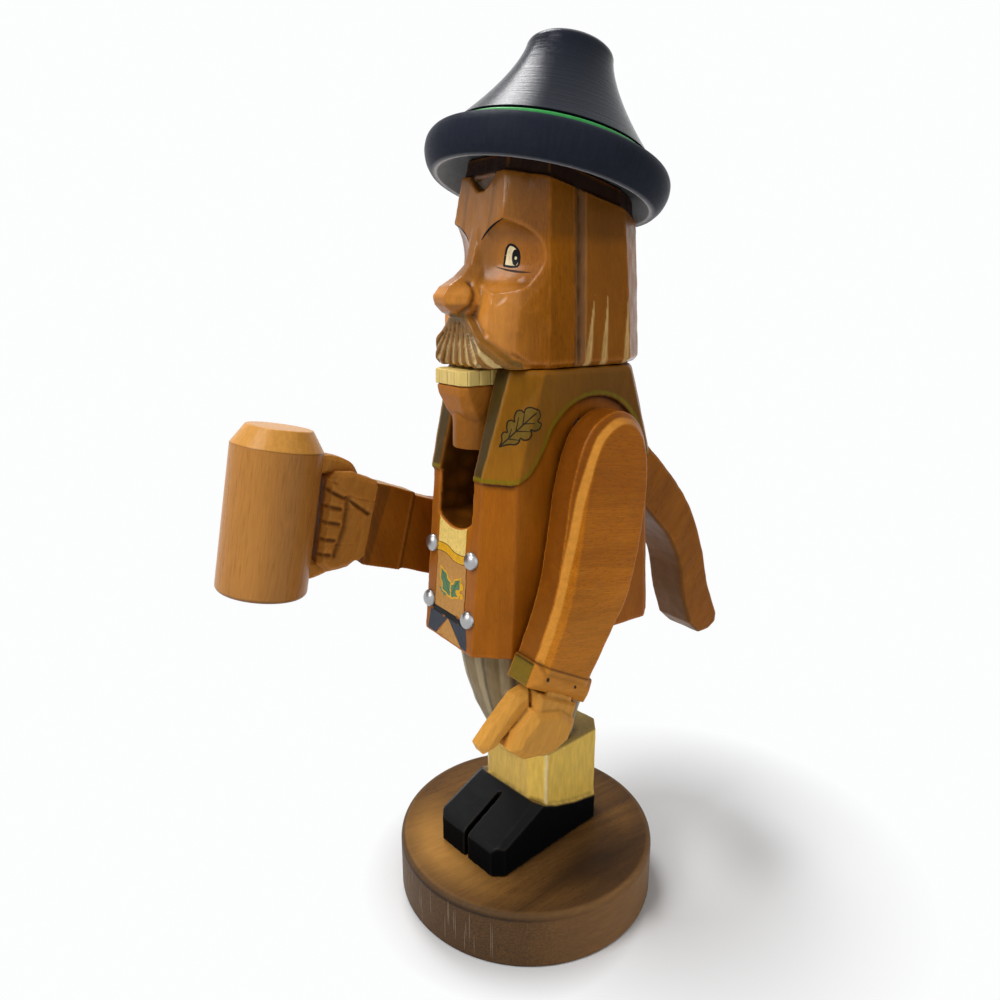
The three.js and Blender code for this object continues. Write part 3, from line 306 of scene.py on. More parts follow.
class NutcrackerColours(bpy.types.PropertyGroup):
    """Stains and paints."""

    honey_light: colour_property("Honey light", "Pale grain of jacket and right sleeve", 180, 105, 20)
    honey_dark: colour_property("Honey dark", "Dark grain of jacket and right sleeve", 142, 77, 10)
    face_light: colour_property("Face light", "Pale grain of the head and lever", 166, 98, 12)
    face_dark: colour_property("Face dark", "Dark grain of the head and lever", 130, 73, 6)
    sleeve_light: colour_property("Sleeve light", "Pale grain of the left sleeve", 204, 124, 26)
    sleeve_dark: colour_property("Sleeve dark", "Dark grain of the left sleeve", 168, 94, 14)
    hand_light: colour_property("Hand light", "Pale grain of hands and handle", 196, 134, 56)
    hand_dark: colour_property("Hand dark", "Dark grain of hands and handle", 164, 104, 34)
    stein_light: colour_property("Stein light", "Pale grain of the stein", 176, 118, 48)
    stein_dark: colour_property("Stein dark", "Dark grain of the stein", 148, 93, 32)
    walnut_light: colour_property("Walnut light", "Pale grain of the stand", 140, 98, 50)
    walnut_dark: colour_property("Walnut dark", "Dark grain of the stand", 78, 54, 30)
    bare_light: colour_property("Bare light", "Pale grain of dowels", 214, 180, 132)
    bare_dark: colour_property("Bare dark", "Dark grain of dowels", 186, 146, 96)
    olive: colour_property("Olive", "Stain on the collar", 114, 79, 11)
    trim: colour_property("Trim", "Line along the collar's edge", 122, 108, 14)
    navy: colour_property("Navy", "Paint on the hat", 29, 32, 43)
    green: colour_property("Green", "Ring round the hat", 66, 164, 84)
    hair: colour_property("Hair", "Dark stain under the hat", 46, 33, 29)
    moustache: colour_property("Moustache", "Stain on the moustache", 106, 80, 30)
    cream: colour_property("Cream", "Teeth and shirt", 236, 204, 116)
    black: colour_property("Black", "Shoes and thin lines", 7, 8, 10)
    charcoal: colour_property("Charcoal", "Lower vest", 56, 60, 70)
    trouser: colour_property("Trousers", "Cloth of the trousers", 132, 112, 76)
    trouser_pale: colour_property("Trouser stripe", "Pale stripes of the trousers", 172, 156, 122)


class NutcrackerStage(bpy.types.PropertyGroup):
    """Strength of the lights."""

    key_power: FloatProperty(
        name="Key", description="Strength of the light from above and behind", default=2.9, unit="POWER")
    front_power: FloatProperty(
        name="Front", description="Strength of the light on the face", default=3.9, unit="POWER")
    fill_power: FloatProperty(
        name="Fill", description="Strength of the light from the right", default=1.0, unit="POWER")
    sky: FloatProperty(name="Sky", description="Strength of the light from all round", default=0.27)


def new_object(name, mesh):
    obj = bpy.data.objects.new(name, mesh)
    bpy.context.scene.collection.objects.link(obj)
    return obj


def merged_mesh(node):
    """A copy of a CAD node's mesh, with its loose triangles joined."""
    mesh = frame["nodes"][node].data.copy()
    work = bmesh.new()
    work.from_mesh(mesh)
    bmesh.ops.remove_doubles(work, verts=work.verts, dist=1e-6)
    work.to_mesh(mesh)
    work.free()
    mesh.materials.clear()
    return mesh


def bake(obj):
    """Turns an object's modifiers into plain mesh."""
    graph = bpy.context.evaluated_depsgraph_get()
    mesh = bpy.data.meshes.new_from_object(obj.evaluated_get(graph))
    if len(mesh.polygons) == 0:
        raise RuntimeError(f"{obj.name} came out empty")
    obj.modifiers.clear()
    obj.data = mesh
    mesh.name = obj.name
    return obj


def smooth_shaded(obj):
    obj.data.polygons.foreach_set("use_smooth", np.ones(len(obj.data.polygons), bool))
    return obj


def carved(node, name, voxel, marks=1.0, soften=None):
    """A CAD node cut again as a fine surface with eased edges and shallow knife marks."""
    carving = bpy.context.scene.nutcracker_carving
    obj = new_object(name, merged_mesh(node))
    blank = obj.modifiers.new("Blank", "REMESH")
    blank.mode = "VOXEL"
    blank.voxel_size = voxel
    sanding = obj.modifiers.new("Sanding", "SMOOTH")
    sanding.factor = 0.5
    sanding.iterations = carving.soften if soften is None else soften
    texture = bpy.data.textures.new(name + "_marks", "VORONOI")
    texture.noise_scale = carving.mark_size
    knife = obj.modifiers.new("Knife", "DISPLACE")
    knife.texture = texture
    knife.texture_coords = "LOCAL"
    knife.strength = carving.mark_depth * marks
    knife.mid_level = 0.35
    return smooth_shaded(bake(obj))


def places(mesh):
    """Vertex places in millimetres and vertex normals."""
    count = len(mesh.vertices)
    at = np.empty(count * 3, np.float32)
    mesh.vertices.foreach_get("co", at)
    normals = np.empty(count * 3, np.float32)
    mesh.vertex_normals.foreach_get("vector", normals)
    return at.reshape(-1, 3).astype(float) / MM, normals.reshape(-1, 3).astype(float)


def move(mesh, at):
    mesh.vertices.foreach_set("co", (at * MM).astype(np.float32).ravel())
    mesh.update()


def store(mesh, name, values):
    layer = mesh.attributes.get(name) or mesh.attributes.new(name, "FLOAT", "POINT")
    layer.data.foreach_set("value", values.astype(np.float32))


def neighbour_mean(values, edges):
    total = np.zeros_like(values)
    np.add.at(total, edges[:, 0], values[edges[:, 1]])
    np.add.at(total, edges[:, 1], values[edges[:, 0]])
    share = np.bincount(edges.ravel(), minlength=len(values)).astype(float)
    share = np.maximum(share, 1)
    return total / (share[:, None] if values.ndim == 2 else share)


def mark_wear(obj, voxel, bare=0.0, rub=9):
    """Stores the edges, rubbed pale by handling and lightened further as painted highlight, and the hollows,
    darkened by gathered stain and painted shade.
    """
    mesh = obj.data
    at, normals = places(mesh)
    edges = np.empty(len(mesh.edges) * 2, np.int32)
    mesh.edges.foreach_get("vertices", edges)
    edges = edges.reshape(-1, 2)
    proud = np.einsum("ij,ij->i", at - neighbour_mean(at, edges), normals) * MM / voxel
    edge = proud
    for _ in range(2):
        edge = 0.5 * edge + 0.5 * neighbour_mean(edge, edges)
    hollow = proud
    for _ in range(6):
        hollow = 0.4 * hollow + 0.6 * neighbour_mean(hollow, edges)
    # Pale edges are rubbed wood and painted highlight; dark hollows are gathered stain and painted shade
    store(mesh, "wear", np.clip(edge * rub - 0.15, 0, 1))
    store(mesh, "recess", np.clip(-hollow * 14 - 0.1, 0, 1) * (1 - bare))


def outline_distance(points, outline):
    """Signed distance from flat points to a closed outline, negative inside."""
    points = np.asarray(points, float)
    best = np.full(len(points), np.inf)
    inside = np.zeros(len(points), bool)
    for (au, av), (bu, bv) in zip(outline, outline[1:] + outline[:1]):
        edge = np.array((bu - au, bv - av))
        away = points - (au, av)
        share = np.clip(away @ edge / max(edge @ edge, 1e-12), 0, 1)
        best = np.minimum(best, np.hypot(*(away - share[:, None] * edge).T))
        crosses = (points[:, 1] < av) != (points[:, 1] < bv)
        slope = (bu - au) / (bv - av) if bv != av else 0.0
        inside ^= crosses & (points[:, 0] < au + (points[:, 1] - av) * slope)
    return np.where(inside, -best, best)


def segment_distance(points, start, end):
    """Distance from flat points to a segment, and the share of its length where each lies."""
    edge = np.subtract(end, start)
    away = np.asarray(points, float) - start
    share = np.clip(away @ edge / (edge @ edge), 0, 1)
    return np.hypot(*(away - share[:, None] * edge).T), share


def within(distance, soft=0.4):
    """1 inside an edge, 0 outside it, fading over a soft width."""
    return np.clip(0.5 - distance / soft, 0, 1)


def near(value, middle, half, soft):
    """1 within a half width of a middle value, fading over a soft width."""
    return within(np.abs(value - middle) - half, soft)


def mirrored(half):
    """A closed outline from the points of its right half."""
    return [(-u, v) for u, v in reversed(half)] + list(half)


def arc(middle, radius, start, end, steps):
    angles = np.radians(np.linspace(start, end, steps + 1))
    return [(middle[0] + radius * math.cos(a), middle[1] + radius * math.sin(a)) for a in angles]


class Paint:
    """Stain, paint, painted light and painted shade on a carved mesh: one colour and one cover per vertex."""

    def __init__(self, obj):
        self.mesh = obj.data
        self.at, self.normals = places(self.mesh)
        self.colour = np.zeros((len(self.at), 3))
        self.cover = np.zeros(len(self.at))

    def lay(self, mask, colour, cover=1.0):
        """Brushes a palette colour, or a named stain, paint, painted light or painted shade, over what is
        there.
        """
        top = np.asarray(mask, float) * cover
        under = self.cover * (1 - top)
        total = np.maximum(top + under, 1e-6)
        mixed = np.outer(top, stain(colour)) + self.colour * under[:, None]
        self.colour = mixed / total[:, None]
        self.cover = top + under

    def finish(self):
        """Stores colour and cover on the mesh."""
        layer = self.mesh.attributes.new("paint", "FLOAT_COLOR", "POINT")
        values = np.ones((len(self.at), 4), np.float32)
        values[:, :3] = self.colour
        layer.data.foreach_set("color", values.ravel())
        store(self.mesh, "cover", self.cover)


def add(tree, kind, sockets=None, **settings):
    """Adds a node; a socket is given either a value or the output that feeds it."""
    node = tree.nodes.new(kind)
    for key, value in settings.items():
        setattr(node, key, value)
    for key, value in (sockets or {}).items():
        if isinstance(value, bpy.types.NodeSocket):
            tree.links.new(value, node.inputs[key])
        else:
            node.inputs[key].default_value = value
    return node


def sums(tree, operation, first, second=0.0):
    return add(tree, "ShaderNodeMath", {0: first, 1: second}, operation=operation).outputs[0]


def spread(tree, value, low, high, to_low, to_high):
    sockets = {"Value": value, "From Min": low, "From Max": high, "To Min": to_low, "To Max": to_high}
    return add(tree, "ShaderNodeMapRange", sockets).outputs["Result"]


def blend(tree, share, first, second, mode="MIX"):
    sockets = {0: share, 6: first, 7: second}
    node = add(tree, "ShaderNodeMix", sockets, data_type="RGBA", blend_type=mode)
    return node.outputs[2]


def streaks(tree, vector, kind):
    """Noise drawn out along the grain."""
    grain = GRAIN[kind]
    drawn = add(tree, "ShaderNodeMapping", {"Vector": vector, "Scale": (1, 1, grain["stretch"])}).outputs[0]
    return add(tree, "ShaderNodeTexNoise", {
        "Vector": drawn, "Scale": grain["scale"], "Detail": grain["detail"], "Roughness": 0.6,
        "Distortion": grain.get("distortion", 0.0),
    }).outputs["Fac"]


def attribute(tree, name, output="Fac"):
    return add(tree, "ShaderNodeAttribute", attribute_name=name).outputs[output]


def grey(tree, value):
    return add(tree, "ShaderNodeCombineColor", {"Red": value, "Green": value, "Blue": value}).outputs[0]


def new_finish(name, grain=(0.0, 0.0, 0.0), offset=0.0):
    """An empty material's nodes, and a vector in millimetres that is turned along the grain."""
    finish = bpy.data.materials.new(name)
    finish.use_nodes = True
    tree = finish.node_tree
    tree.nodes.clear()
    coords = add(tree, "ShaderNodeTexCoord").outputs["Object"]
    vector = add(tree, "ShaderNodeMapping", {
        "Vector": coords, "Location": (offset, offset * 0.7, offset * 1.3), "Rotation": grain,
        "Scale": (1 / MM, 1 / MM, 1 / MM),
    }).outputs[0]
    return tree, vector


def end_finish(tree, sockets):
    """Ends a material in one shader with these inputs."""
    shader = add(tree, "ShaderNodeBsdfPrincipled", sockets)
    add(tree, "ShaderNodeOutputMaterial", {"Surface": shader.outputs[0]})
    return shader


def wood_colour(tree, vector, fibre, dark, light, figure, fleck, rub):
    """Bands, fibres and pores under the paint stored on the mesh, pale on rubbed edges and painted highlight,
    and dark in hollows with stain and painted shade.
    """
    bands = streaks(tree, vector, "bands")
    level = spread(tree, bands, 0.3, 0.7, 0.5 - 0.5 * figure, 0.5 + 0.5 * figure)
    colour = blend(tree, level, opaque(dark), opaque(light))
    patch = spread(tree, streaks(tree, vector, "patch"), 0.3, 0.7, 0.84, 1.14)
    pores = spread(tree, streaks(tree, vector, "pores"), 0.58, 0.72, 1.0, 1 - 0.3 * fleck)
    tone = spread(tree, fibre, 0.25, 0.75, 1 - 0.16 * fleck, 1 + 0.14 * fleck)
    tone = sums(tree, "MULTIPLY", sums(tree, "MULTIPLY", tone, patch), pores)
    colour = blend(tree, 1.0, colour, grey(tree, tone), "MULTIPLY")
    # Edges lighten where rubbed and as painted highlight
    uneven = spread(tree, fibre, 0.3, 0.7, 0.3 * rub, 0.7 * rub)
    wear = sums(tree, "MULTIPLY", attribute(tree, "wear"), uneven)
    pale = tuple(min(1.0, part * 1.35 + 0.02) for part in stain(light))
    colour = blend(tree, wear, colour, opaque(pale))
    brushed = spread(tree, streaks(tree, vector, "brush"), 0.3, 0.7, 0.86, 1.1)
    paint = blend(tree, 1.0, attribute(tree, "paint", "Color"), grey(tree, brushed), "MULTIPLY")
    left = sums(tree, "SUBTRACT", 1.0, sums(tree, "MULTIPLY", wear, 0.6))
    cover = sums(tree, "MULTIPLY", attribute(tree, "cover"), left)
    colour = blend(tree, cover, colour, paint)
    # Hollows darken with stain and painted shade, nearly black
    hollow = sums(tree, "MULTIPLY", attribute(tree, "recess"), 0.7)
    deep = tuple(part * 0.14 for part in stain(dark))
    return blend(tree, hollow, colour, opaque(deep))


def wood(name, dark, light, grain=(0.0, 0.0, 0.0), offset=0.0, rough=0.36, shine=0.09, figure=0.7,
         fleck=1.15, rub=1.0, turning=0.0, drawn=0.0, matt=False):
    """Varnished wood with its grain along one axis; matt wood reads where its varnish is dull."""
    tree, vector = new_finish(name, grain, offset)
    fibre = streaks(tree, vector, "fibre")
    height = sums(tree, "MULTIPLY", fibre, 0.6)
    if turning > 0:
        flat = add(tree, "ShaderNodeMapping", {"Vector": vector, "Scale": (0.03, 0.03, 1.0)}).outputs[0]
        lines = add(tree, "ShaderNodeTexNoise", {
            "Vector": flat, "Scale": turning, "Detail": 3.0, "Roughness": 0.65,
        }).outputs["Fac"]
        height = sums(tree, "ADD", height, sums(tree, "MULTIPLY", lines, 1.4))
    bump = add(tree, "ShaderNodeBump", {"Strength": 0.4, "Distance": 0.14 * MM, "Height": height})
    roughness = spread(tree, fibre, 0.3, 0.7, rough - 0.06, rough + 0.1)
    gloss = shine
    if matt:
        dull = attribute(tree, "matt")
        roughness = sums(tree, "ADD", roughness, sums(tree, "MULTIPLY", dull, 0.22))
        gloss = sums(tree, "MULTIPLY", spread(tree, dull, 0.0, 1.0, 1.0, 0.2), shine)
    shader = end_finish(tree, {
        "Base Color": wood_colour(tree, vector, fibre, dark, light, figure, fleck, rub),
        "Roughness": roughness, "Normal": bump.outputs[0], "Specular IOR Level": gloss,
    })
    if drawn > 0:
        shader.inputs["Anisotropic"].default_value = drawn
        shader.inputs["Anisotropic Rotation"].default_value = 0.25
        round_about = add(tree, "ShaderNodeTangent", direction_type="RADIAL", axis="Z").outputs[0]
        tree.links.new(round_about, shader.inputs["Tangent"])


def paint_film(name, colour, rough):
    """A brushed film of paint, uneven in tone."""
    tree, vector = new_finish(name)
    tone = spread(tree, streaks(tree, vector, "film"), 0.3, 0.7, 0.82, 1.12)
    end_finish(tree, {
        "Base Color": blend(tree, 1.0, opaque(colour), grey(tree, tone), "MULTIPLY"),
        "Roughness": rough, "Specular IOR Level": 0.12,
    })


def steel(name, tone, rough):
    """Polished steel with faint smears."""
    tree, vector = new_finish(name)
    end_finish(tree, {
        "Base Color": opaque((tone, tone, tone * 1.01)), "Metallic": 1.0,
        "Roughness": spread(tree, streaks(tree, vector, "smear"), 0.3, 0.7, rough * 0.7, rough * 1.4),
    })


def coat(name):
    """The wood, paint or metal of that name."""
    found = bpy.data.materials.get(name)
    if found is None:
        raise RuntimeError(f"material {name} hasn't been made")
    return found


def dress(obj, finish, body, slot, *nodes):
    """Gives a finished piece its material and its body, and hides the CAD nodes that it stands for; the slot
    is not used.
    """
    obj.data.materials.clear()
    obj.data.materials.append(coat(finish))
    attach(obj, body)
    if nodes:
        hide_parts(*nodes)
    return obj


def turned(name, profile, steps):
    """A piece turned on a lathe from a half profile of radius and height, in millimetres."""
    mesh = bpy.data.meshes.new(name)
    points = [(radius * MM, 0.0, height * MM) for radius, height in profile]
    mesh.from_pydata(points, [(i, i + 1) for i in range(len(points) - 1)], [])
    obj = new_object(name, mesh)
    lathe = obj.modifiers.new("Lathe", "SCREW")
    lathe.axis = "Z"
    lathe.steps = steps
    lathe.render_steps = steps
    lathe.use_merge_vertices = True
    lathe.merge_threshold = 1e-6
    bake(obj)
    work = bmesh.new()
    work.from_mesh(obj.data)
    bmesh.ops.remove_doubles(work, verts=work.verts, dist=1e-7)
    bmesh.ops.recalc_face_normals(work, faces=work.faces)
    work.to_mesh(obj.data)
    work.free()
    return smooth_shaded(obj)


def spline(points, steps):
    """A smooth line through points of any dimension."""
    knots = np.asarray(points, float)
    padded = np.vstack([2 * knots[0] - knots[1], knots, 2 * knots[-1] - knots[-2]])
    line = []
    for i in range(1, len(padded) - 2):
        before, start, end, after = padded[i - 1:i + 3]
        for share in np.arange(steps) / steps:
            line.append(0.5 * (
                2 * start + (end - before) * share
                + (2 * before - 5 * start + 4 * end - after) * share ** 2
                + (3 * start - before - 3 * end + after) * share ** 3))
    line.append(knots[-1])
    return np.array(line)


def rounded(profile, steps=4, sharp=()):
    """A profile whose corners, except the sharp ones, are eased by a short curve."""
    eased = [profile[0]]
    for i in range(1, len(profile) - 1):
        before, corner, after = (np.asarray(p, float) for p in profile[i - 1:i + 2])
        if i in sharp:
            eased.append(tuple(corner))
            continue
        reach = 0.45 * min(np.linalg.norm(before - corner), np.linalg.norm(after - corner))
        start = corner + (before - corner) / np.linalg.norm(before - corner) * reach
        end = corner + (after - corner) / np.linalg.norm(after - corner) * reach
        for share in np.linspace(0, 1, steps + 1):
            bend = (1 - share) ** 2 * start + 2 * share * (1 - share) * corner + share ** 2 * end
            eased.append(tuple(bend))
    eased.append(profile[-1])
    return eased


def set_in_place(obj, turn, place):
    """Puts a piece drawn at the origin where it belongs, in its vertices."""
    matrix = Matrix.Translation(Vector(place) * MM) @ Matrix.Rotation(turn, 4, "X")
    obj.data.transform(matrix)
    obj.data.update()


def node_group(name, inputs):
    """A geometry node tree with these named inputs, and the sockets that carry them."""
    tree = bpy.data.node_groups.new(name, "GeometryNodeTree")
    for label, kind in inputs.items():
        tree.interface.new_socket(name=label, in_out="INPUT", socket_type="NodeSocket" + kind)
    tree.interface.new_socket(name="Pieces", in_out="OUTPUT", socket_type="NodeSocketGeometry")
    return tree, add(tree, "NodeGroupInput").outputs


def end_group(tree, geometry, finish):
    """Ends a tree in real geometry with its material."""
    whole = add(tree, "GeometryNodeRealizeInstances", {"Geometry": geometry}).outputs[0]
    done = add(tree, "GeometryNodeSetMaterial", {"Geometry": whole, "Material": finish}).outputs[0]
    add(tree, "NodeGroupOutput", {"Pieces": done})
    return tree


def vectors(tree, operation, sockets, output="Vector"):
    return add(tree, "ShaderNodeVectorMath", sockets, operation=operation).outputs[output]


def stroke_tree():
    """Geometry nodes that draw a brush stroke along a line and press it onto a surface."""
    tree, given = node_group("Brush stroke", {
        "Line": "Geometry", "Surface": "Object", "Film": "Float", "Step": "Float", "Material": "Material",
    })
    line = add(tree, "GeometryNodeMeshToCurve", {"Mesh": given["Line"]}).outputs[0]
    sampled = add(tree, "GeometryNodeResampleCurve", {"Curve": line, "Length": given["Step"]}, mode="LENGTH")
    width = add(tree, "GeometryNodeInputNamedAttribute", {"Name": "half_width"}, data_type="FLOAT")
    ring = add(tree, "GeometryNodeCurvePrimitiveCircle", {"Resolution": 10, "Radius": 1.0})
    tube = add(tree, "GeometryNodeCurveToMesh", {
        "Curve": sampled.outputs[0], "Profile Curve": ring.outputs[0],
        "Scale": width.outputs["Attribute"], "Fill Caps": True,
    }).outputs[0]
    target = add(tree, "GeometryNodeObjectInfo", {"Object": given["Surface"]}, transform_space="ORIGINAL")
    ground = target.outputs["Geometry"]
    normal = add(tree, "GeometryNodeInputNormal").outputs[0]
    sample = add(tree, "GeometryNodeSampleNearestSurface", {"Mesh": ground}, data_type="FLOAT_VECTOR")
    tree.links.new(normal, sample.inputs["Value"])
    out = sample.outputs["Value"]
    proximity = add(tree, "GeometryNodeProximity", {"Geometry": ground}, target_element="FACES")
    nearest = proximity.outputs["Position"]
    here = add(tree, "GeometryNodeInputPosition").outputs[0]
    away = vectors(tree, "SUBTRACT", {0: here, 1: nearest})
    height = vectors(tree, "DOT_PRODUCT", {0: away, 1: out}, "Value")
    size = sums(tree, "ADD", sums(tree, "ABSOLUTE", height), 0.04 * MM)
    level = sums(tree, "MULTIPLY", sums(tree, "DIVIDE", height, size), given["Film"])
    raised = vectors(tree, "SCALE", {0: out, "Scale": level})
    spot = vectors(tree, "ADD", {0: nearest, 1: raised})
    pressed = add(tree, "GeometryNodeSetPosition", {"Geometry": tube, "Position": spot}).outputs[0]
    return end_group(tree, pressed, given["Material"])


def nail_tree():
    """Geometry nodes that set the same nail at every point."""
    tree, given = node_group("Domed nails", {
        "Points": "Geometry", "Nail": "Object", "Lean": "Float", "Material": "Material",
    })
    nail = add(tree, "GeometryNodeObjectInfo", {"Object": given["Nail"]}, transform_space="ORIGINAL")
    lean = add(tree, "ShaderNodeCombineXYZ", {"X": given["Lean"]}).outputs[0]
    turn = add(tree, "FunctionNodeEulerToRotation", {0: lean}).outputs[0]
    set_out = add(tree, "GeometryNodeInstanceOnPoints", {
        "Points": given["Points"], "Instance": nail.outputs["Geometry"], "Rotation": turn,
    }).outputs[0]
    return end_group(tree, set_out, given["Material"])


def run_tree(obj, tree, values):
    """Feeds a geometry node tree by its sockets' names, then bakes the result."""
    modifier = obj.modifiers.new(tree.name, "NODES")
    modifier.node_group = tree
    for item in tree.interface.items_tree:
        if item.item_type == "SOCKET" and item.in_out == "INPUT" and item.name in values:
            modifier[item.identifier] = values[item.name]
    obj.update_tag()
    return bake(obj)


class Ground:
    """The carved surface that lines and films of paint lie on."""

    def __init__(self, obj):
        self.obj = obj
        mesh = obj.data
        mesh.calc_loop_triangles()
        self.tree = BVHTree.FromPolygons(
            [v.co for v in mesh.vertices], [t.vertices for t in mesh.loop_triangles])

    def nearest(self, point):
        return np.array(self.tree.find_nearest(Vector(point) * MM)[0]) / MM

    def below(self, point, way):
        hit, normal = self.tree.ray_cast(Vector(point) * MM, Vector(way))[:2]
        if hit is None:
            raise RuntimeError(f"no surface of {self.obj.name} lies under {tuple(point)}")
        return np.array(hit) / MM, np.array(normal)


def strokes(name, ground, lines, finish, body, slot):
    """Thin painted lines, each a list of places and half widths in millimetres."""
    carving = bpy.context.scene.nutcracker_carving
    points, edges, widths = [], [], []
    for line, half, closed in lines:
        first = len(points)
        count = len(line)
        points += [tuple(ground.nearest(p) * MM) for p in line]
        edges += [(first + i, first + i + 1) for i in range(count - 1)]
        if closed:
            edges.append((first + count - 1, first))
        widths += list(np.broadcast_to(half, count) * MM)
    mesh = bpy.data.meshes.new(name)
    mesh.from_pydata(points, edges, [])
    store(mesh, "half_width", np.array(widths))
    obj = new_object(name, mesh)
    tree = bpy.data.node_groups.get("Brush stroke") or stroke_tree()
    run_tree(obj, tree, {
        "Surface": ground.obj, "Film": carving.film, "Step": carving.brush_step, "Material": coat(finish),
    })
    return dress(smooth_shaded(obj), finish, body, slot)


class Sheet:
    """A flat drawing board held in front of a surface: middle, across and up, in millimetres."""

    def __init__(self, ground, middle, across, up):
        self.ground = ground
        self.middle = np.asarray(middle, float)
        self.across = np.asarray(across, float) / np.linalg.norm(across)
        self.out = np.cross(self.across, up)
        self.out /= np.linalg.norm(self.out)
        self.up = np.cross(self.out, self.across)

    def under(self, u, v):
        """The place on the surface, and its normal, behind a point of the board."""
        point = self.middle + self.across * u + self.up * v
        return self.ground.below(point + self.out * BOARD_REACH, -self.out)

    def line(self, points):
        return [self.under(u, v)[0] for u, v in points]


def films(name, sheet, outlines, finish, body, slot, lift=0.05, spacing=0.5):
    """Closed films of paint inside flat outlines, laid on the surface behind a drawing board."""
    points, faces = [], []
    for outline in outlines:
        ring = [Vector(p) for p in outline]
        low, high = np.min(outline, axis=0), np.max(outline, axis=0)
        grid = np.array([
            (u, v) for u in np.arange(low[0], high[0], spacing) for v in np.arange(low[1], high[1], spacing)
        ]).reshape(-1, 2)
        kept = grid[outline_distance(grid, [tuple(p) for p in outline]) < -0.4 * spacing]
        flat = ring + [Vector(p) for p in kept]
        around = [(i, (i + 1) % len(ring)) for i in range(len(ring))]
        found = delaunay_2d_cdt(flat, around, [list(range(len(ring)))], 1, 1e-5)
        spots, cells = found[0], found[2]
        first = len(points)
        for side in (lift, -2 * lift):
            for u, v in spots:
                hit, normal = sheet.under(u, v)
                points.append(tuple((hit + normal * side) * MM))
        count = len(spots)
        used = {}
        for cell in cells:
            corners = [spots[i] for i in cell]
            area = sum(a.x * b.y - b.x * a.y for a, b in zip(corners, corners[1:] + corners[:1]))
            cell = list(cell) if area > 0 else list(cell)[::-1]
            faces.append([first + i for i in cell])
            faces.append([first + count + i for i in reversed(cell)])
            for a, b in zip(cell, cell[1:] + cell[:1]):
                used[(a, b)] = used.get((a, b), 0) + 1
        for a, b in used:
            if (b, a) not in used:
                faces.append([first + b, first + a, first + count + a, first + count + b])
    mesh = bpy.data.meshes.new(name)
    mesh.from_pydata(points, [], faces)
    mesh.validate()
    return dress(new_object(name, mesh), finish, body, slot)


def ellipse(u, v, across, up, count=28):
    turns = np.linspace(0, 2 * math.pi, count + 1)[:-1]
    return [(u + across * math.cos(a), v + up * math.sin(a)) for a in turns]


def palette():
    return bpy.context.scene.nutcracker_colours


class NUTCRACKER_OT_materials(bpy.types.Operator):
    """Make the woods, paints and metals"""

    bl_idname = "nutcracker.materials"
    bl_label = "Materials"

    def execute(self, context):
        c = palette()
        honey = (c.honey_dark, c.honey_light)
        face = (c.face_dark, c.face_light)
        sleeve = (c.sleeve_dark, c.sleeve_light)
        across = math.radians(90)
        wood("jacket_wood", *honey, figure=0.5, fleck=0.6)
        wood("head_wood", *face, offset=31.0, figure=0.5, shine=0.22, rough=0.18, matt=True)
        wood("lever_wood", *face, grain=(math.radians(40), 0, 0), offset=12.0, figure=0.5)
        wood("left_sleeve_wood", *sleeve, grain=(across + 0.15, 0, 0), offset=57.0, figure=0.6,
             fleck=1.5)
        wood("right_sleeve_wood", *honey, grain=(-0.3, 0, 0), offset=83.0, figure=0.6)
        wood("hand_wood", c.hand_dark, c.hand_light, grain=(math.radians(30), 0, 0), offset=44.0,
             rough=0.42)
        wood("stein_wood", c.stein_dark, c.stein_light, grain=(-STEIN_LEAN, 0, 0), offset=19.0, figure=0.5,
             fleck=0.5, rough=0.3, shine=0.2, turning=0.8)
        wood("leg_wood", c.trouser, c.trouser_pale, offset=5.0, rough=0.42, shine=0.12, rub=0.1, matt=True)
        wood("hat_wood", c.navy, c.navy, grain=(-HAT_LEAN, 0, 0), offset=8.0, rough=0.16, shine=0.075,
             rub=0.1, fleck=0.5, turning=1.8, drawn=0.8, matt=True)
        wood("stand_wood", c.walnut_dark, c.walnut_light, grain=(across, 0, math.radians(24)), offset=66.0,
             rough=0.46, figure=0.65, fleck=1.5)
        wood("teeth_wood", c.cream, c.cream, rough=0.42, shine=0.4)
        wood("bare_wood", c.bare_dark, c.bare_light, rough=0.65)
        steel("nail_steel", 0.4, 0.34)
        steel("zinc_steel", 0.5, 0.4)
        for name, colour, rough in (
            ("line_black", c.black, 0.45), ("line_brown", "brown line", 0.5), ("line_leaf", "leaf line", 0.6),
            ("line_dust", "dust", 0.6), ("film_white", "eye white", 0.4), ("film_cream", c.cream, 0.5),
            ("film_yellow", "yellow film", 0.45), ("film_tan", "tan film", 0.5),
            ("film_charcoal", c.charcoal, 0.5), ("film_leaf", "green leaf", 0.5),
            ("film_oak", "oak leaf", 0.5),
        ):
            paint_film(name, colour, rough)
        return {"FINISHED"}


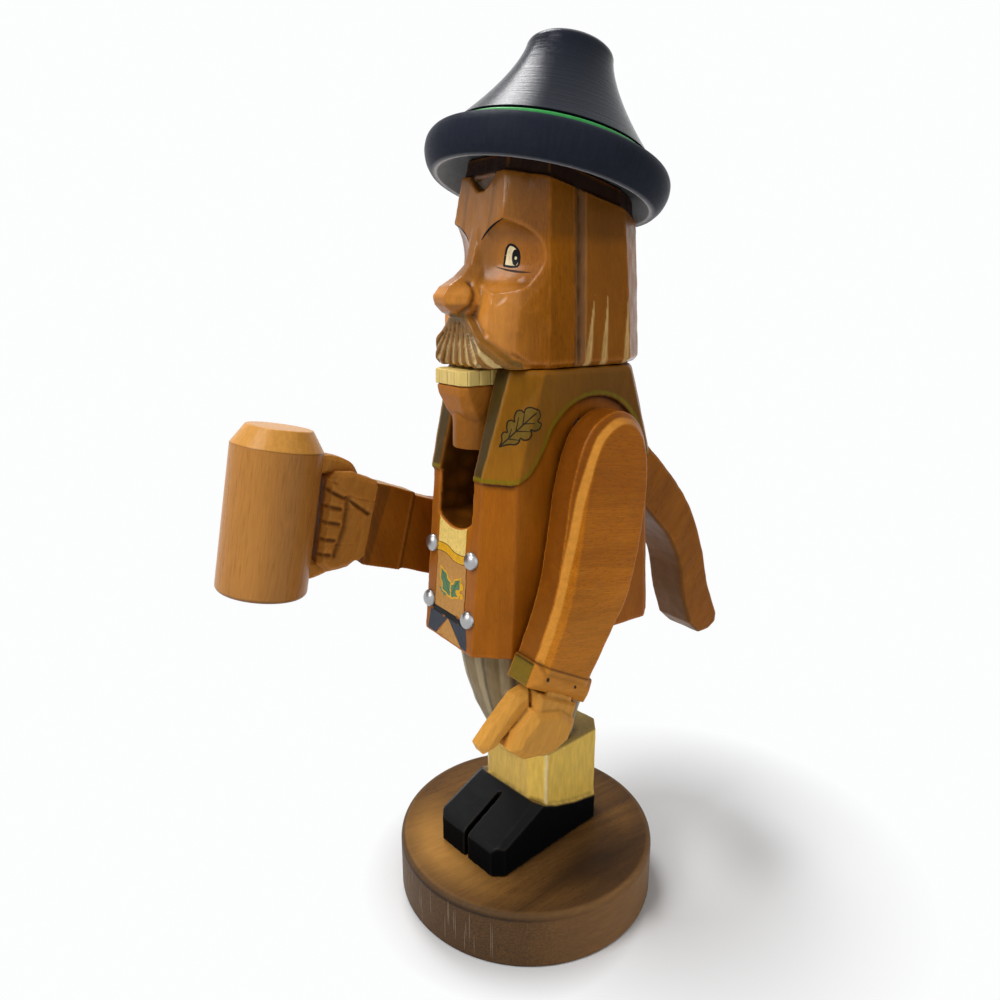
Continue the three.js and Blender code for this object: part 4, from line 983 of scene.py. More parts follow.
class NUTCRACKER_OT_stand(bpy.types.Operator):
    """Turn the stand, with wells for its two screws"""

    bl_idname = "nutcracker.stand"
    bl_label = "Stand"

    def execute(self, context):
        rim = [
            (0, 0), (STAND_RADIUS - 0.5, 0), (STAND_RADIUS, 0.6), (STAND_RADIUS, STAND_TOP - 1.7),
            (STAND_RADIUS - 0.4, STAND_TOP - 0.5), (STAND_RADIUS - 1.6, STAND_TOP),
        ]
        top = [(reach, STAND_TOP) for reach in np.arange(STAND_RADIUS - 3.5, 0, -1.5)]
        stand = turned("stand", rounded(rim + top + [(0, STAND_TOP)]), 160)
        for screw in ("base_screw_right", "base_screw_left"):
            self.bore_well(stand, screw)
        self.stain_stand(stand)
        mark_wear(stand, context.scene.nutcracker_carving.voxel)
        smooth_shaded(stand)
        stand.data.set_sharp_from_angle(angle=SHARP_EDGE)
        dress(stand, "stand_wood", "figure", "walnut_stand", "base_disc")
        self.scratch(Ground(stand))
        return {"FINISHED"}

    def bore_well(self, stand, screw):
        """Bores the hole for a screw, with a well for its head."""
        low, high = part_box(screw)
        middle = (low + high) / 2
        well = turned("well", [
            (0, -4), (WELL_RADIUS, -4), (WELL_RADIUS, 1.6), (WELL_BORE, 4.2), (WELL_BORE, 19), (0, 19),
        ], 48)
        well.data.transform(Matrix.Translation((middle.x, middle.y, 0)))
        bore = stand.modifiers.new("Well", "BOOLEAN")
        bore.object = well
        bore.solver = "EXACT"
        bake(stand)
        bpy.data.objects.remove(well)

    def stain_stand(self, stand):
        """End grain and side grain round the wall, a bright and a dark patch on the top, and a painted
        highlight along the top's rim.
        """
        paint = Paint(stand)
        x, y, z = paint.at.T
        reach = np.hypot(x, y)
        turn = np.degrees(np.arctan2(y, x))
        wall = within(STAND_RADIUS - 1.2 - reach, 0.8)
        paint.lay(wall, "stand wall", 0.9)
        end_grain = near(turn, -96, 56, 36) + near(turn, 85, 40, 40)
        paint.lay(end_grain * wall, "end grain", 0.9)
        paint.lay(near(turn, 10, 28, 40) * wall, "side grain", 0.66)
        top = within(STAND_TOP - 0.4 - z, 0.4) * (1 - wall)
        # A darker patch on the top, to the right of the shoes
        dark_patch = np.hypot((x - 28) / 13, (y - 4) / 24)
        paint.lay(top * np.clip(1.25 - dark_patch, 0, 1), "stand spill", 0.85)
        bright_patch = np.hypot((x + 7) / 24, (y + 28) / 15)
        paint.lay(top * np.clip(1.3 - bright_patch, 0, 1), "stand bright", 0.68)
        paint.lay(top * within(STAND_RADIUS - 5 - reach, 5), "stand edge", 0.4)
        # Painted highlight: a paler line along the rounded rim of the top
        rim = near(reach, STAND_RADIUS - 0.8, 0.7, 0.5) * within(STAND_TOP - 1.5 - z, 0.6)
        paint.lay(rim, "stand rim", 0.32)
        paint.finish()

    def scratch(self, ground):
        """Pale upright scratches on the front of the wall."""
        scratches = []
        chance = np.random.default_rng(SCRATCH_SEED)
        for turn in np.radians(chance.uniform(-150, -50, SCRATCHES)):
            away = np.array((math.cos(turn), math.sin(turn), 0)) * STAND_RADIUS
            low = chance.uniform(1.2, 8)
            high = min(low + chance.uniform(4, 12), STAND_TOP - 1.5)
            line = [tuple(away + (0, 0, h)) for h in np.linspace(low, high, 8)]
            scratches.append((line, 0.11 * np.sin(np.linspace(0.3, math.pi - 0.3, 8)), False))
        strokes("stand_scratches", ground, scratches, "line_dust", "figure", "walnut_stand")


def leg_places(at):
    """Places on the legs as seen from the feet, which are turned a little."""
    x, y, z = at.T
    c, s = math.cos(-LEG_TURN), math.sin(-LEG_TURN)
    return x * c - y * s, x * s + y * c, z


class NUTCRACKER_OT_legs(bpy.types.Operator):
    """Carve and paint shoes, stockings and trousers"""

    bl_idname = "nutcracker.legs"
    bl_label = "Legs"

    def execute(self, context):
        carving = context.scene.nutcracker_carving
        c = palette()
        legs = carved("legs", "painted_legs", carving.fine_voxel)
        paint = Paint(legs)
        x, y, z = leg_places(paint.at)
        shoe_edge = outline_distance(np.c_[y, z - SHOE_FLOOR], SHOE)
        stocking = z < STOCKING_TOP + 0.2
        split = np.clip(1.3 - np.abs(x) / 0.7, 0, 1) * (y < -11) * (shoe_edge < 0.4)
        move(legs.data, paint.at - paint.normals * (0.8 * split)[:, None])
        paint.lay(stocking, "stocking", 0.95)
        # Painted light: the stockings brighter on the side that faces the figure's left
        paint.lay(stocking * np.clip(paint.normals[:, 0], 0, 1), "stocking side", 0.9)
        ledge = within(STOCKING_TOP - 1.2 - z, 1.0) * stocking * within(0.6 - paint.normals[:, 2], 0.3)
        paint.lay(ledge, "stocking ledge", 0.7)
        corner = near(np.abs(x), 13, 0.35, 0.5) * near(y, -4.4, 0.5, 0.7)
        paint.lay(stocking * corner, "stocking corner", 0.9)
        round_leg = np.degrees(np.arctan2(y - 1, x * 1.35))
        stripe = np.mod(round_leg + 6, 30)
        above = z >= STOCKING_TOP + 0.2
        paint.lay(above, c.trouser, 0.96)
        paint.lay(above * near(stripe, 9, 4.4, 1.6), c.trouser_pale, 0.75)
        paint.lay(above * near(stripe, 17, 1.6, 1.6), "dark stripe", 0.85)
        on_shoe = within(shoe_edge, 0.5)
        paint.lay(on_shoe, c.black)
        paint.finish()
        store(legs.data, "matt", on_shoe * within(paint.normals[:, 2] - 0.35, 0.2))
        mark_wear(legs, carving.fine_voxel)
        dress(legs, "leg_wood", "figure", "leg_paint", "legs")
        return {"FINISHED"}


def strip_front(height):
    """How far forward the vest strip stands at a height."""
    share = (height - HEM) / (LAPEL_FOOT - HEM)
    return STRIP_FOOT + (STRIP_CHEST - STRIP_FOOT) * share


class NUTCRACKER_OT_jacket(bpy.types.Operator):
    """Carve and stain the jacket block with its collar"""

    bl_idname = "nutcracker.jacket"
    bl_label = "Jacket"

    def execute(self, context):
        carving = context.scene.nutcracker_carving
        c = palette()
        jacket = carved("torso", "jacket_block", carving.voxel)
        paint = Paint(jacket)
        x, y, z = paint.at.T
        collar = [(-60, LAPEL_FOOT), (-19.6, LAPEL_FOOT)]
        collar += [(-15.4, LAPEL_FOOT + 2.2), (-12.6, LAPEL_FOOT + 5.4)]
        collar += arc(SHOULDER, ARCH_RADIUS, 162, 8, 20)
        collar += [(24, 139), (60, 139), (60, 170), (-60, 170)]
        edge = outline_distance(np.c_[y, z], collar)
        outside = within(SLOT_HALF + 0.1 - np.abs(x), 0.4)
        on_collar = within(edge, 0.4) * outside
        paint.lay(on_collar, c.olive, 0.72)
        # A paler patch low on the front of the lapel
        paint.lay(on_collar * within(y + 10, 6) * within(z - LAPEL_FOOT - 9, 10), "lapel rubbed", 0.45)
        # Painted shade: the collar darker towards its back
        paint.lay(on_collar * within(-y, 14), "collar back", 0.35)
        band_edge = 11.9 + (z - LAPEL_FOOT) * 0.084
        band = within(np.abs(x) - band_edge, 0.4) * within(edge, 0.4) * (y < -8)
        paint.lay(band * outside, "lapel band", 0.86)
        band_line = near(np.abs(x), band_edge + 0.2, 0.25, 0.4) * within(edge, 0.4) * (y < -8)
        paint.lay(band_line, "band edge", 0.35)
        paint.lay(near(edge, -0.75, 0.55, 0.4) * outside, c.trim, 0.9)
        # Painted shadow: a dark line just outside the collar's edge, where it steps out from the jacket
        paint.lay(near(edge, 0.25, 0.35, 0.4) * outside, "collar line", 0.85)
        # Painted shade on the walls inside the slot
        floor = SLOT_ARC_HEIGHT - np.sqrt(np.maximum(SLOT_ARC_RADIUS ** 2 - x ** 2, 0))
        inside = within(np.abs(x) - SLOT_HALF - 0.1, 0.3) * within(floor - z - 0.1, 0.4)
        front = strip_front(z) + 0.5
        paint.lay(inside * (y > np.where(z > LAPEL_FOOT, -30, front)) * (y < 33), "slot wall", 0.85)
        strip = within(np.abs(x) - 12.2, 0.5) * within(z - LAPEL_FOOT, 0.4) * (y < -20)
        strip = strip * (paint.normals[:, 1] < -0.6)
        paint.lay(strip * within(8.4 - np.abs(x), 0.6), "strip edge", 0.5)
        paint.finish()
        mark_wear(jacket, carving.voxel)
        dress(jacket, "jacket_wood", "figure", "honey_wood", "torso")
        return {"FINISHED"}


class NUTCRACKER_OT_vest(bpy.types.Operator):
    """Paint shirt, cord, panel and sprig on the vest strip, and set its domed nails"""

    bl_idname = "nutcracker.vest"
    bl_label = "Vest"

    def execute(self, context):
        ground = Ground(bpy.data.objects["jacket_block"])
        board = Sheet(ground, (0, -30, 0), (1, 0, 0), (0, 0, 1))
        cord = spline(CORD_KNOTS, 6)
        cord_top = [(u, v + CORD_HALF) for u, v in cord]
        cord_foot = [(u, v - CORD_HALF) for u, v in cord]
        self.front(board, cord_top, cord_foot)
        leaves = [self.sprig_leaf(np.array(foot), np.array(tip), fat) for foot, tip, fat in SPRIG_LEAVES]
        films("vest_leaves", board, leaves, "film_leaf", "figure", "honey_wood", lift=0.07, spacing=0.4)
        petals = [ellipse(*petal) for petal in SPRIG_PETALS]
        films("vest_flower", board, petals, "film_yellow", "figure", "honey_wood", lift=0.08, spacing=0.4)
        dark = [(board.line(edge), 0.17, False) for edge in (cord_top, cord_foot)]
        dark += [(board.line(petal), 0.09, True) for petal in petals]
        dark += [(board.line(line), half, False) for line, half in PANEL_LINES]
        strokes("vest_lines", ground, dark, "line_brown", "figure", "honey_wood")
        stems = [(board.line(outline), 0.26, True) for outline in leaves[:2]]
        strokes("vest_stems", ground, stems, "film_yellow", "figure", "honey_wood")
        self.nails()
        return {"FINISHED"}

    def front(self, board, cord_top, cord_foot):
        """Shirt, cord and panel, with a band and darts below them."""
        slot_arc = arc((0, SLOT_ARC_HEIGHT), SLOT_ARC_RADIUS + 0.35, 239, 297, 16)
        shirt = [p for p in cord_top if -PANEL_HALF < p[0] < 6.4] + slot_arc[::-1]
        films("vest_shirt", board, [shirt], "film_cream", "figure", "cream_paint")
        cord = cord_foot + cord_top[::-1]
        films("vest_cord", board, [cord], "film_yellow", "figure", "cream_paint", lift=0.08)
        panel = [(-PANEL_HALF, PANEL_FOOT), (PANEL_HALF, PANEL_FOOT)]
        panel += [p for p in cord_foot if abs(p[0]) < PANEL_HALF][::-1]
        films("vest_panel", board, [panel], "film_tan", "figure", "honey_wood", lift=0.04)
        band = [(-BAND_HALF, BAND_FOOT), (BAND_HALF, BAND_FOOT)]
        band += [(BAND_HALF, PANEL_FOOT), (-BAND_HALF, PANEL_FOOT)]
        films("vest_band", board, [band], "line_black", "figure", "honey_wood")
        left = [(-10.6, DART_FOOT), (-6.1, DART_FOOT), (-0.6, DART_TOP), (-9.6, DART_TOP)]
        right = [(7.1, DART_FOOT), (9.6, DART_FOOT), (8.8, DART_TOP), (-0.2, DART_TOP)]
        films("vest_darts", board, [left, right], "film_charcoal", "figure", "honey_wood")
        middle = [(-5.9, DART_FOOT), (6.9, DART_FOOT), (-0.4, BAND_FOOT)]
        films("vest_dart_middle", board, [middle], "film_tan", "figure", "honey_wood", lift=0.04)

    def sprig_leaf(self, foot, tip, fat):
        """Outline of a pointed leaf with a wavy edge."""
        along = tip - foot
        side = np.array((-along[1], along[0])) / np.linalg.norm(along)
        share = np.linspace(0, 1, 12)
        swell = fat * np.sin(math.pi * share ** 0.8) * (0.8 + 0.2 * np.cos(18 * share))
        there = [tuple(foot + along * s + side * w) for s, w in zip(share, swell)]
        back = [tuple(foot + along * s - side * w) for s, w in zip(share[1:-1], swell[1:-1])]
        return there + back[::-1]

    def nails(self):
        """Sets the four nails with their shanks in the wood."""
        bends = np.linspace(0, math.pi / 2, 14)
        dome = [(NAIL_RADIUS * math.cos(a), NAIL_EDGE + NAIL_DOME * math.sin(a)) for a in bends]
        dome[-1] = (0.0, dome[-1][1])
        shank = [(0, -9), (0.8, -7.4), (0.8, 0.02), (NAIL_RADIUS, 0.02)]
        nail = turned("nail", shank + dome, 40)
        nail.data.set_sharp_from_angle(angle=SHARP_EDGE)
        mesh = bpy.data.meshes.new("vest_nails")
        spots = [(side * NAIL_X, strip_front(h), h) for side in (-1, 1) for h in NAIL_HEIGHTS]
        mesh.from_pydata([tuple(part * MM for part in spot) for spot in spots], [], [])
        nails = new_object("vest_nails", mesh)
        slope = math.atan2(STRIP_CHEST - STRIP_FOOT, LAPEL_FOOT - HEM)
        run_tree(nails, nail_tree(), {
            "Nail": nail, "Lean": math.pi / 2 - slope, "Material": coat("nail_steel"),
        })
        bpy.data.objects.remove(nail)
        dress(nails, "nail_steel", "figure", "bright_steel", "button_upper_left",
              "button_upper_right", "button_lower_left", "button_lower_right")


class NUTCRACKER_OT_leaf(bpy.types.Operator):
    """Draw an oak leaf on each lapel"""

    bl_idname = "nutcracker.leaf"
    bl_label = "Lapel leaves"

    def execute(self, context):
        ground = Ground(bpy.data.objects["jacket_block"])
        for side, label in ((1, "left"), (-1, "right")):
            along = np.array((side * 0.417, 0.614, 0.674))
            facing = np.array((side * 0.7, -0.68, 0.2))
            up = np.cross(facing, along) * side
            board = Sheet(ground, (side * 18.2, -17.3, 150.2), along * side, up)
            half_length = 6.7
            rim = spline([*OAK_LEAF, OAK_LEAF[0]], 3)[:-1]
            rim = [(side * (u - half_length), v) for u, v in rim]
            films(f"leaf_{label}", board, [rim[::side]], "film_oak", "figure", "honey_wood", lift=0.04)
            lines = [(board.line(rim), 0.2, True)]
            midrib = [(side * (u - half_length), 0.0) for u in np.linspace(0.3, 12.6, 30)]
            lines.append((board.line(midrib), 0.19, False))
            for start, end in OAK_VEINS:
                vein = [(side * (u - half_length), v) for u, v in np.linspace(start, end, 8)]
                lines.append((board.line(vein), np.linspace(0.18, 0.1, 8), False))
            strokes(f"leaf_lines_{label}", ground, lines, "line_leaf", "figure", "honey_wood")
        return {"FINISHED"}


def fan_depth(at):
    """Depth, from 0 to 1, of the gouges that part the moustache."""
    x, z = at[:, 0], at[:, 2] - HEAD_FOOT
    depth = np.zeros(len(at))
    for spread_out in np.linspace(-0.875, 0.875, 8):
        lean = abs(spread_out)
        start = (spread_out * 7.2, 11.6 - 3.6 * lean)
        end = (spread_out * 15.8, 1.6 * lean * lean - 1.2)
        away, share = segment_distance(np.c_[x, z], start, end)
        width = 0.2 + 1.0 * share
        depth = np.maximum(depth, np.clip(1.2 - away / width, 0, 1))
    return depth


class NUTCRACKER_OT_head(bpy.types.Operator):
    """Carve the head and paint hair, moustache, brows and eyes"""

    bl_idname = "nutcracker.head"
    bl_label = "Head"

    def execute(self, context):
        carving = context.scene.nutcracker_carving
        head = carved("head", "carved_head", carving.fine_voxel, soften=1)
        paint = Paint(head)
        x, y, z = paint.at.T
        up = z - HEAD_FOOT
        on_fan = within(outline_distance(np.c_[x, up], mirrored(FAN_HALF)), 0.5) * (y < -15) * (up > -0.2)
        gouges = fan_depth(paint.at) * on_fan
        crease = self.nostril_crease(paint.at)
        depth = 0.5 * gouges + 0.55 * crease + 0.35 * self.cheek_marks(paint.at)
        move(head.data, paint.at - paint.normals * depth[:, None])
        self.stain_face(paint, crease)
        self.stain_moustache(paint, on_fan, gouges)
        self.stain_hair(paint)
        paint.finish()
        store(head.data, "matt", within(0.85 - np.abs(paint.normals[:, 0]), 0.2))
        # The head's edges are rubbed pale, and lightened further as painted highlight
        mark_wear(head, carving.fine_voxel, bare=0.8 * on_fan, rub=18)
        dress(head, "head_wood", "figure", "honey_wood", "head")
        self.face(Ground(head))
        return {"FINISHED"}

    def stain_face(self, paint, crease):
        """Paler tint and painted light on the front and the cheeks; painted shade down the middle of the
        brow, under the nose and in the creases beside it.
        """
        x, y, z = paint.at.T
        up = z - HEAD_FOOT
        above_foot = up > -0.2
        front = within(y + 13, 6)
        # Painted light over the paler tint of the front, and on the cheeks
        paint.lay(within(np.abs(x) - 13, 7) * front * above_foot, "face front", 0.6)
        cheeks = within(np.abs(x) - 16, 6) * within(y + 11, 6) * within(up - 19, 4) * above_foot
        paint.lay(cheeks, "cheek", 0.38)
        # Painted shade down the middle of the brow, under the nose and in the nostril creases
        paint.lay(within(np.abs(x) - 6.5, 3) * front * within(21 - up, 4), "forehead", 0.62)
        under_nose = within(paint.normals[:, 2] + 0.2, 0.3) * within(y + 19, 3) * within(12.5 - up, 1)
        paint.lay(under_nose, "under nose", 0.5)
        paint.lay(crease, "nostril", 0.55)

    def stain_moustache(self, paint, on_fan, gouges):
        """Dark stain, painted shade on the walls of the gouges and bare wood on their floor."""
        paint.lay(on_fan, palette().moustache, 0.92)
        shaft = np.clip((12 - paint.at[:, 2] + HEAD_FOOT) / 6, 0, 1)
        # Painted shade on the walls of the gouges
        paint.lay(np.clip(gouges * 5, 0, 1), "gouge wall", 0.6)
        paint.lay(np.clip(gouges * 3 - 1.3, 0, 1) * shaft, "gouge floor", 0.92)

    def stain_hair(self, paint):
        """Hair behind a groove at the temple, with bare slivers, dark hair stain under the hat and painted
        shade from the hat above it.
        """
        x, y, z = paint.at.T
        up = z - HEAD_FOOT
        paint.lay(within(2.6 - y, 0.6) * within(-up, 0.5), "side hair", 0.4)
        groove = y - (0.7 + 0.012 * up)
        beside = np.abs(x) > 12
        for middle, half, soft, name, cover in (
            (0, 1.7, 0.5, "temple", 0.7), (-1.7, 0.25, 0.4, "temple line", 0.75),
            (1.8, 0.2, 0.4, "temple edge", 0.5),
        ):
            paint.lay(near(groove, middle, half, soft) * beside, name, cover)
        for foot, tip in ((3.2, 5.7), (8.9, 10.2), (17.0, 17.4)):
            self.sliver(paint, y, up, foot, tip, np.abs(x) > 14)
        for place in (-8, -3, 3, 8):
            self.sliver(paint, x, up, place, place, y > 22)
        # Painted shade from the hat on the upper sides of the head
        paint.lay(within(31 - up, 3) * (np.abs(x) > 5), "hat shade", 0.5)
        in_peak = within(outline_distance(np.c_[x, up], mirrored(PEAK_HALF)), 0.4) * (y < -8)
        paint.lay(in_peak, "hair peak", 0.9)
        above = (z - HAT_PLACE[2]) * math.cos(HAT_LEAN) - (y - HAT_PLACE[1]) * math.sin(HAT_LEAN)
        paint.lay(within(-0.35 - above, 0.4), palette().hair, 0.96)

    def nostril_crease(self, at):
        """A crease that rounds off the wing of the nose on each side."""
        x, y, z = at.T
        crease = np.zeros(len(at))
        for start, end in zip(NOSE_WING, NOSE_WING[1:]):
            reach = segment_distance(np.c_[y, z], start, end)[0]
            crease = np.maximum(crease, np.exp(-(reach / 0.65) ** 2))
        return crease * (np.abs(x) > 2.5) * (np.abs(x) < 8.5) * (y < -19)

    def cheek_marks(self, at):
        """Shallow marks of a round gouge on both cheeks."""
        one_side = np.c_[np.abs(at[:, 0]), at[:, 1:]]
        marks = np.zeros(len(at))
        for middle, radius in CHEEK_MARKS:
            reach = np.linalg.norm(one_side - middle, axis=1)
            marks = np.maximum(marks, np.clip(1 - (reach / radius) ** 2, 0, 1))
        return marks

    def sliver(self, paint, across, up, foot, tip, side):
        """A bare gouge that tapers upwards in the hair."""
        away, share = segment_distance(np.c_[across, up], (foot, -1), (tip, 18))
        bare = np.clip(1.3 - away / (1.25 * (1.04 - share)), 0, 1) * side
        paint.lay(np.clip(bare * 2 - 0.3, 0, 1), "hair sliver", 0.88)

    def face(self, ground):
        """Paints the eyes, with a crease under each, and the brows."""
        lines, thin = [], []
        for side, label in ((1, "left"), (-1, "right")):
            board = Sheet(ground, (side * 9.6, -13, 191.6), (0.88, side * 0.46, 0), (0, 0, 1))
            shape = [(side * 0.88 * u, 0.9 * v) for u, v in EYE]
            films(f"eye_white_{label}", board, [shape[::side]], "film_white", "figure", "cream_paint",
                  spacing=0.35)
            look = 0.6 if side > 0 else 0.8
            films(f"eye_pupil_{label}", board, [ellipse(look, -0.3, 1.0, 1.9)], "line_black",
                  "figure", "hat_paint", lift=0.08, spacing=0.3)
            films(f"eye_glint_{label}", board, [ellipse(look + 0.1, -0.45, 0.34, 0.4, 12)],
                  "film_white", "figure", "cream_paint", lift=0.11, spacing=0.2)
            closed = spline([*shape, shape[0]], 4)[:-1]
            lines.append((board.line(closed), 0.3, True))
            crease = spline(EYE_CREASE, 6)
            crease[:, 0] *= side
            taper = np.sin(np.linspace(0.12, math.pi - 0.12, len(crease)))
            thin.append((board.line(crease), 0.3 * taper, False))
            brow = spline(BROW, 8)
            brow[:, 0] *= side
            taper = np.sin(np.linspace(0.25, math.pi - 0.2, len(brow))) ** 0.8
            lines.append((brow, 0.28 * taper, False))
        strokes("face_lines", ground, lines, "line_black", "figure", "hat_paint")
        strokes("face_creases", ground, thin, "line_brown", "figure", "honey_wood")


class NUTCRACKER_OT_jaw(bpy.types.Operator):
    """Carve the jaw lever and its row of teeth"""

    bl_idname = "nutcracker.jaw"
    bl_label = "Jaw"

    def execute(self, context):
        carving = context.scene.nutcracker_carving
        lever = carved("jaw_lever", "carved_lever", carving.fine_voxel)
        paint = Paint(lever)
        _, y, z = paint.at.T
        in_slot = y < -12
        paint.lay(in_slot & (z > 140), "chin", 0.4)
        # Painted shadow on the neck under the chin
        paint.lay(within(z - 152, 3) * in_slot, "neck", 0.45)
        paint.lay((paint.normals[:, 1] < -0.3) & (y > 36), "lever front", 0.6)
        paint.finish()
        mark_wear(lever, carving.fine_voxel)
        dress(lever, "lever_wood", "jaw", "honey_wood", "jaw_lever")
        teeth = carved("teeth_strip", "painted_teeth", carving.teeth_voxel, marks=0.8, soften=1)
        paint = Paint(teeth)
        paint.lay(np.ones(len(paint.at)), "teeth", 0.9)
        paint.finish()
        mark_wear(teeth, carving.teeth_voxel)
        dress(teeth, "teeth_wood", "jaw", "cream_paint", "teeth_strip")
        return {"FINISHED"}


class NUTCRACKER_OT_hat(bpy.types.Operator):
    """Turn the hat, with a green ring at the foot of its crown"""

    bl_idname = "nutcracker.hat"
    bl_label = "Hat"

    def execute(self, context):
        c = palette()
        crown = [(11.4 + 14.4 * (1 - t) ** 1.43, 12.9 + 23.1 * t) for t in np.linspace(0, 1, 30)]
        brim = rounded([
            (0, 4.6), (23.6, 4.6), (28.2, 0.4), (29.6, 0.2), (31.4, 2.2), (32.4, 5), (32.3, 7.6), (31.2, 9.5),
            (29.4, 10.4), (26.9, 10.7),
        ], 5, sharp=(1,))
        bead = arc((25.7, 11.45), 0.85, -45, 95, 8)
        crevice = [(25.0, 12.3), (25.0, 12.5)]
        top = rounded([crown[-1], (11.0, 36.9), (9.6, 38.0), (7, 38.3), (0, 38.4)], 5)
        hat = turned("turned_hat", brim + bead + crevice + crown + top[1:], 144)
        paint = Paint(hat)
        x, y, z = paint.at.T
        reach = np.hypot(x, y)
        ring = (reach > 25.1) & (reach < 26.75) & (z > 10.7) & (z < 12.4)
        paint.lay(near(reach, 26.6, 1.3, 0.8) * (z > 10) * (z < 12.4), "ring shade", 0.9)
        paint.lay(ring, c.green, 0.95)
        # Painted shade: the crevice at the foot of the crown made near black
        paint.lay((reach < 25.2) & (reach > 24.5) & (z > 12.2) & (z < 12.7), "crevice", 1.0)
        # Painted light: the underside of the brim made pale grey, as light bounced up from below
        under = within(reach - 29.4, 1.2) * within(22 - reach, 1.0) * within(z - 4.6, 0.6)
        paint.lay(under, "brim underside", 0.9)
        paint.lay(within(z - 10.2, 0.6) * within(28.6 - reach, 1), "brim edge", 0.6)
        paint.finish()
        store(hat.data, "matt", (z < 10.9).astype(float))
        set_in_place(hat, HAT_LEAN, HAT_PLACE)
        mark_wear(hat, context.scene.nutcracker_carving.lathe_step)
        hat.data.set_sharp_from_angle(angle=math.radians(60))
        dress(hat, "hat_wood", "figure", "hat_paint", "hat")
        return {"FINISHED"}


def grip_places(at):
    """Places as seen from the grip, whose axes lean with the stein."""
    away = at - STEIN_GRIP
    c, s = math.cos(STEIN_LEAN), math.sin(STEIN_LEAN)
    return away[:, 0], away[:, 1] * c + away[:, 2] * s, away[:, 2] * c - away[:, 1] * s


def past_cuff(label, at):
    """How far each place lies beyond the line across a cuff."""
    line, away = CUFFS[label]
    return (at[:, 1] - line[0][0]) * away[0] + (at[:, 2] - line[0][1]) * away[1]


def raise_along_stein(mesh, rise):
    """Moves each vertex along the height of the stein."""
    at = places(mesh)[0]
    at[:, 1] -= rise * math.sin(STEIN_LEAN)
    at[:, 2] += rise * math.cos(STEIN_LEAN)
    move(mesh, at)


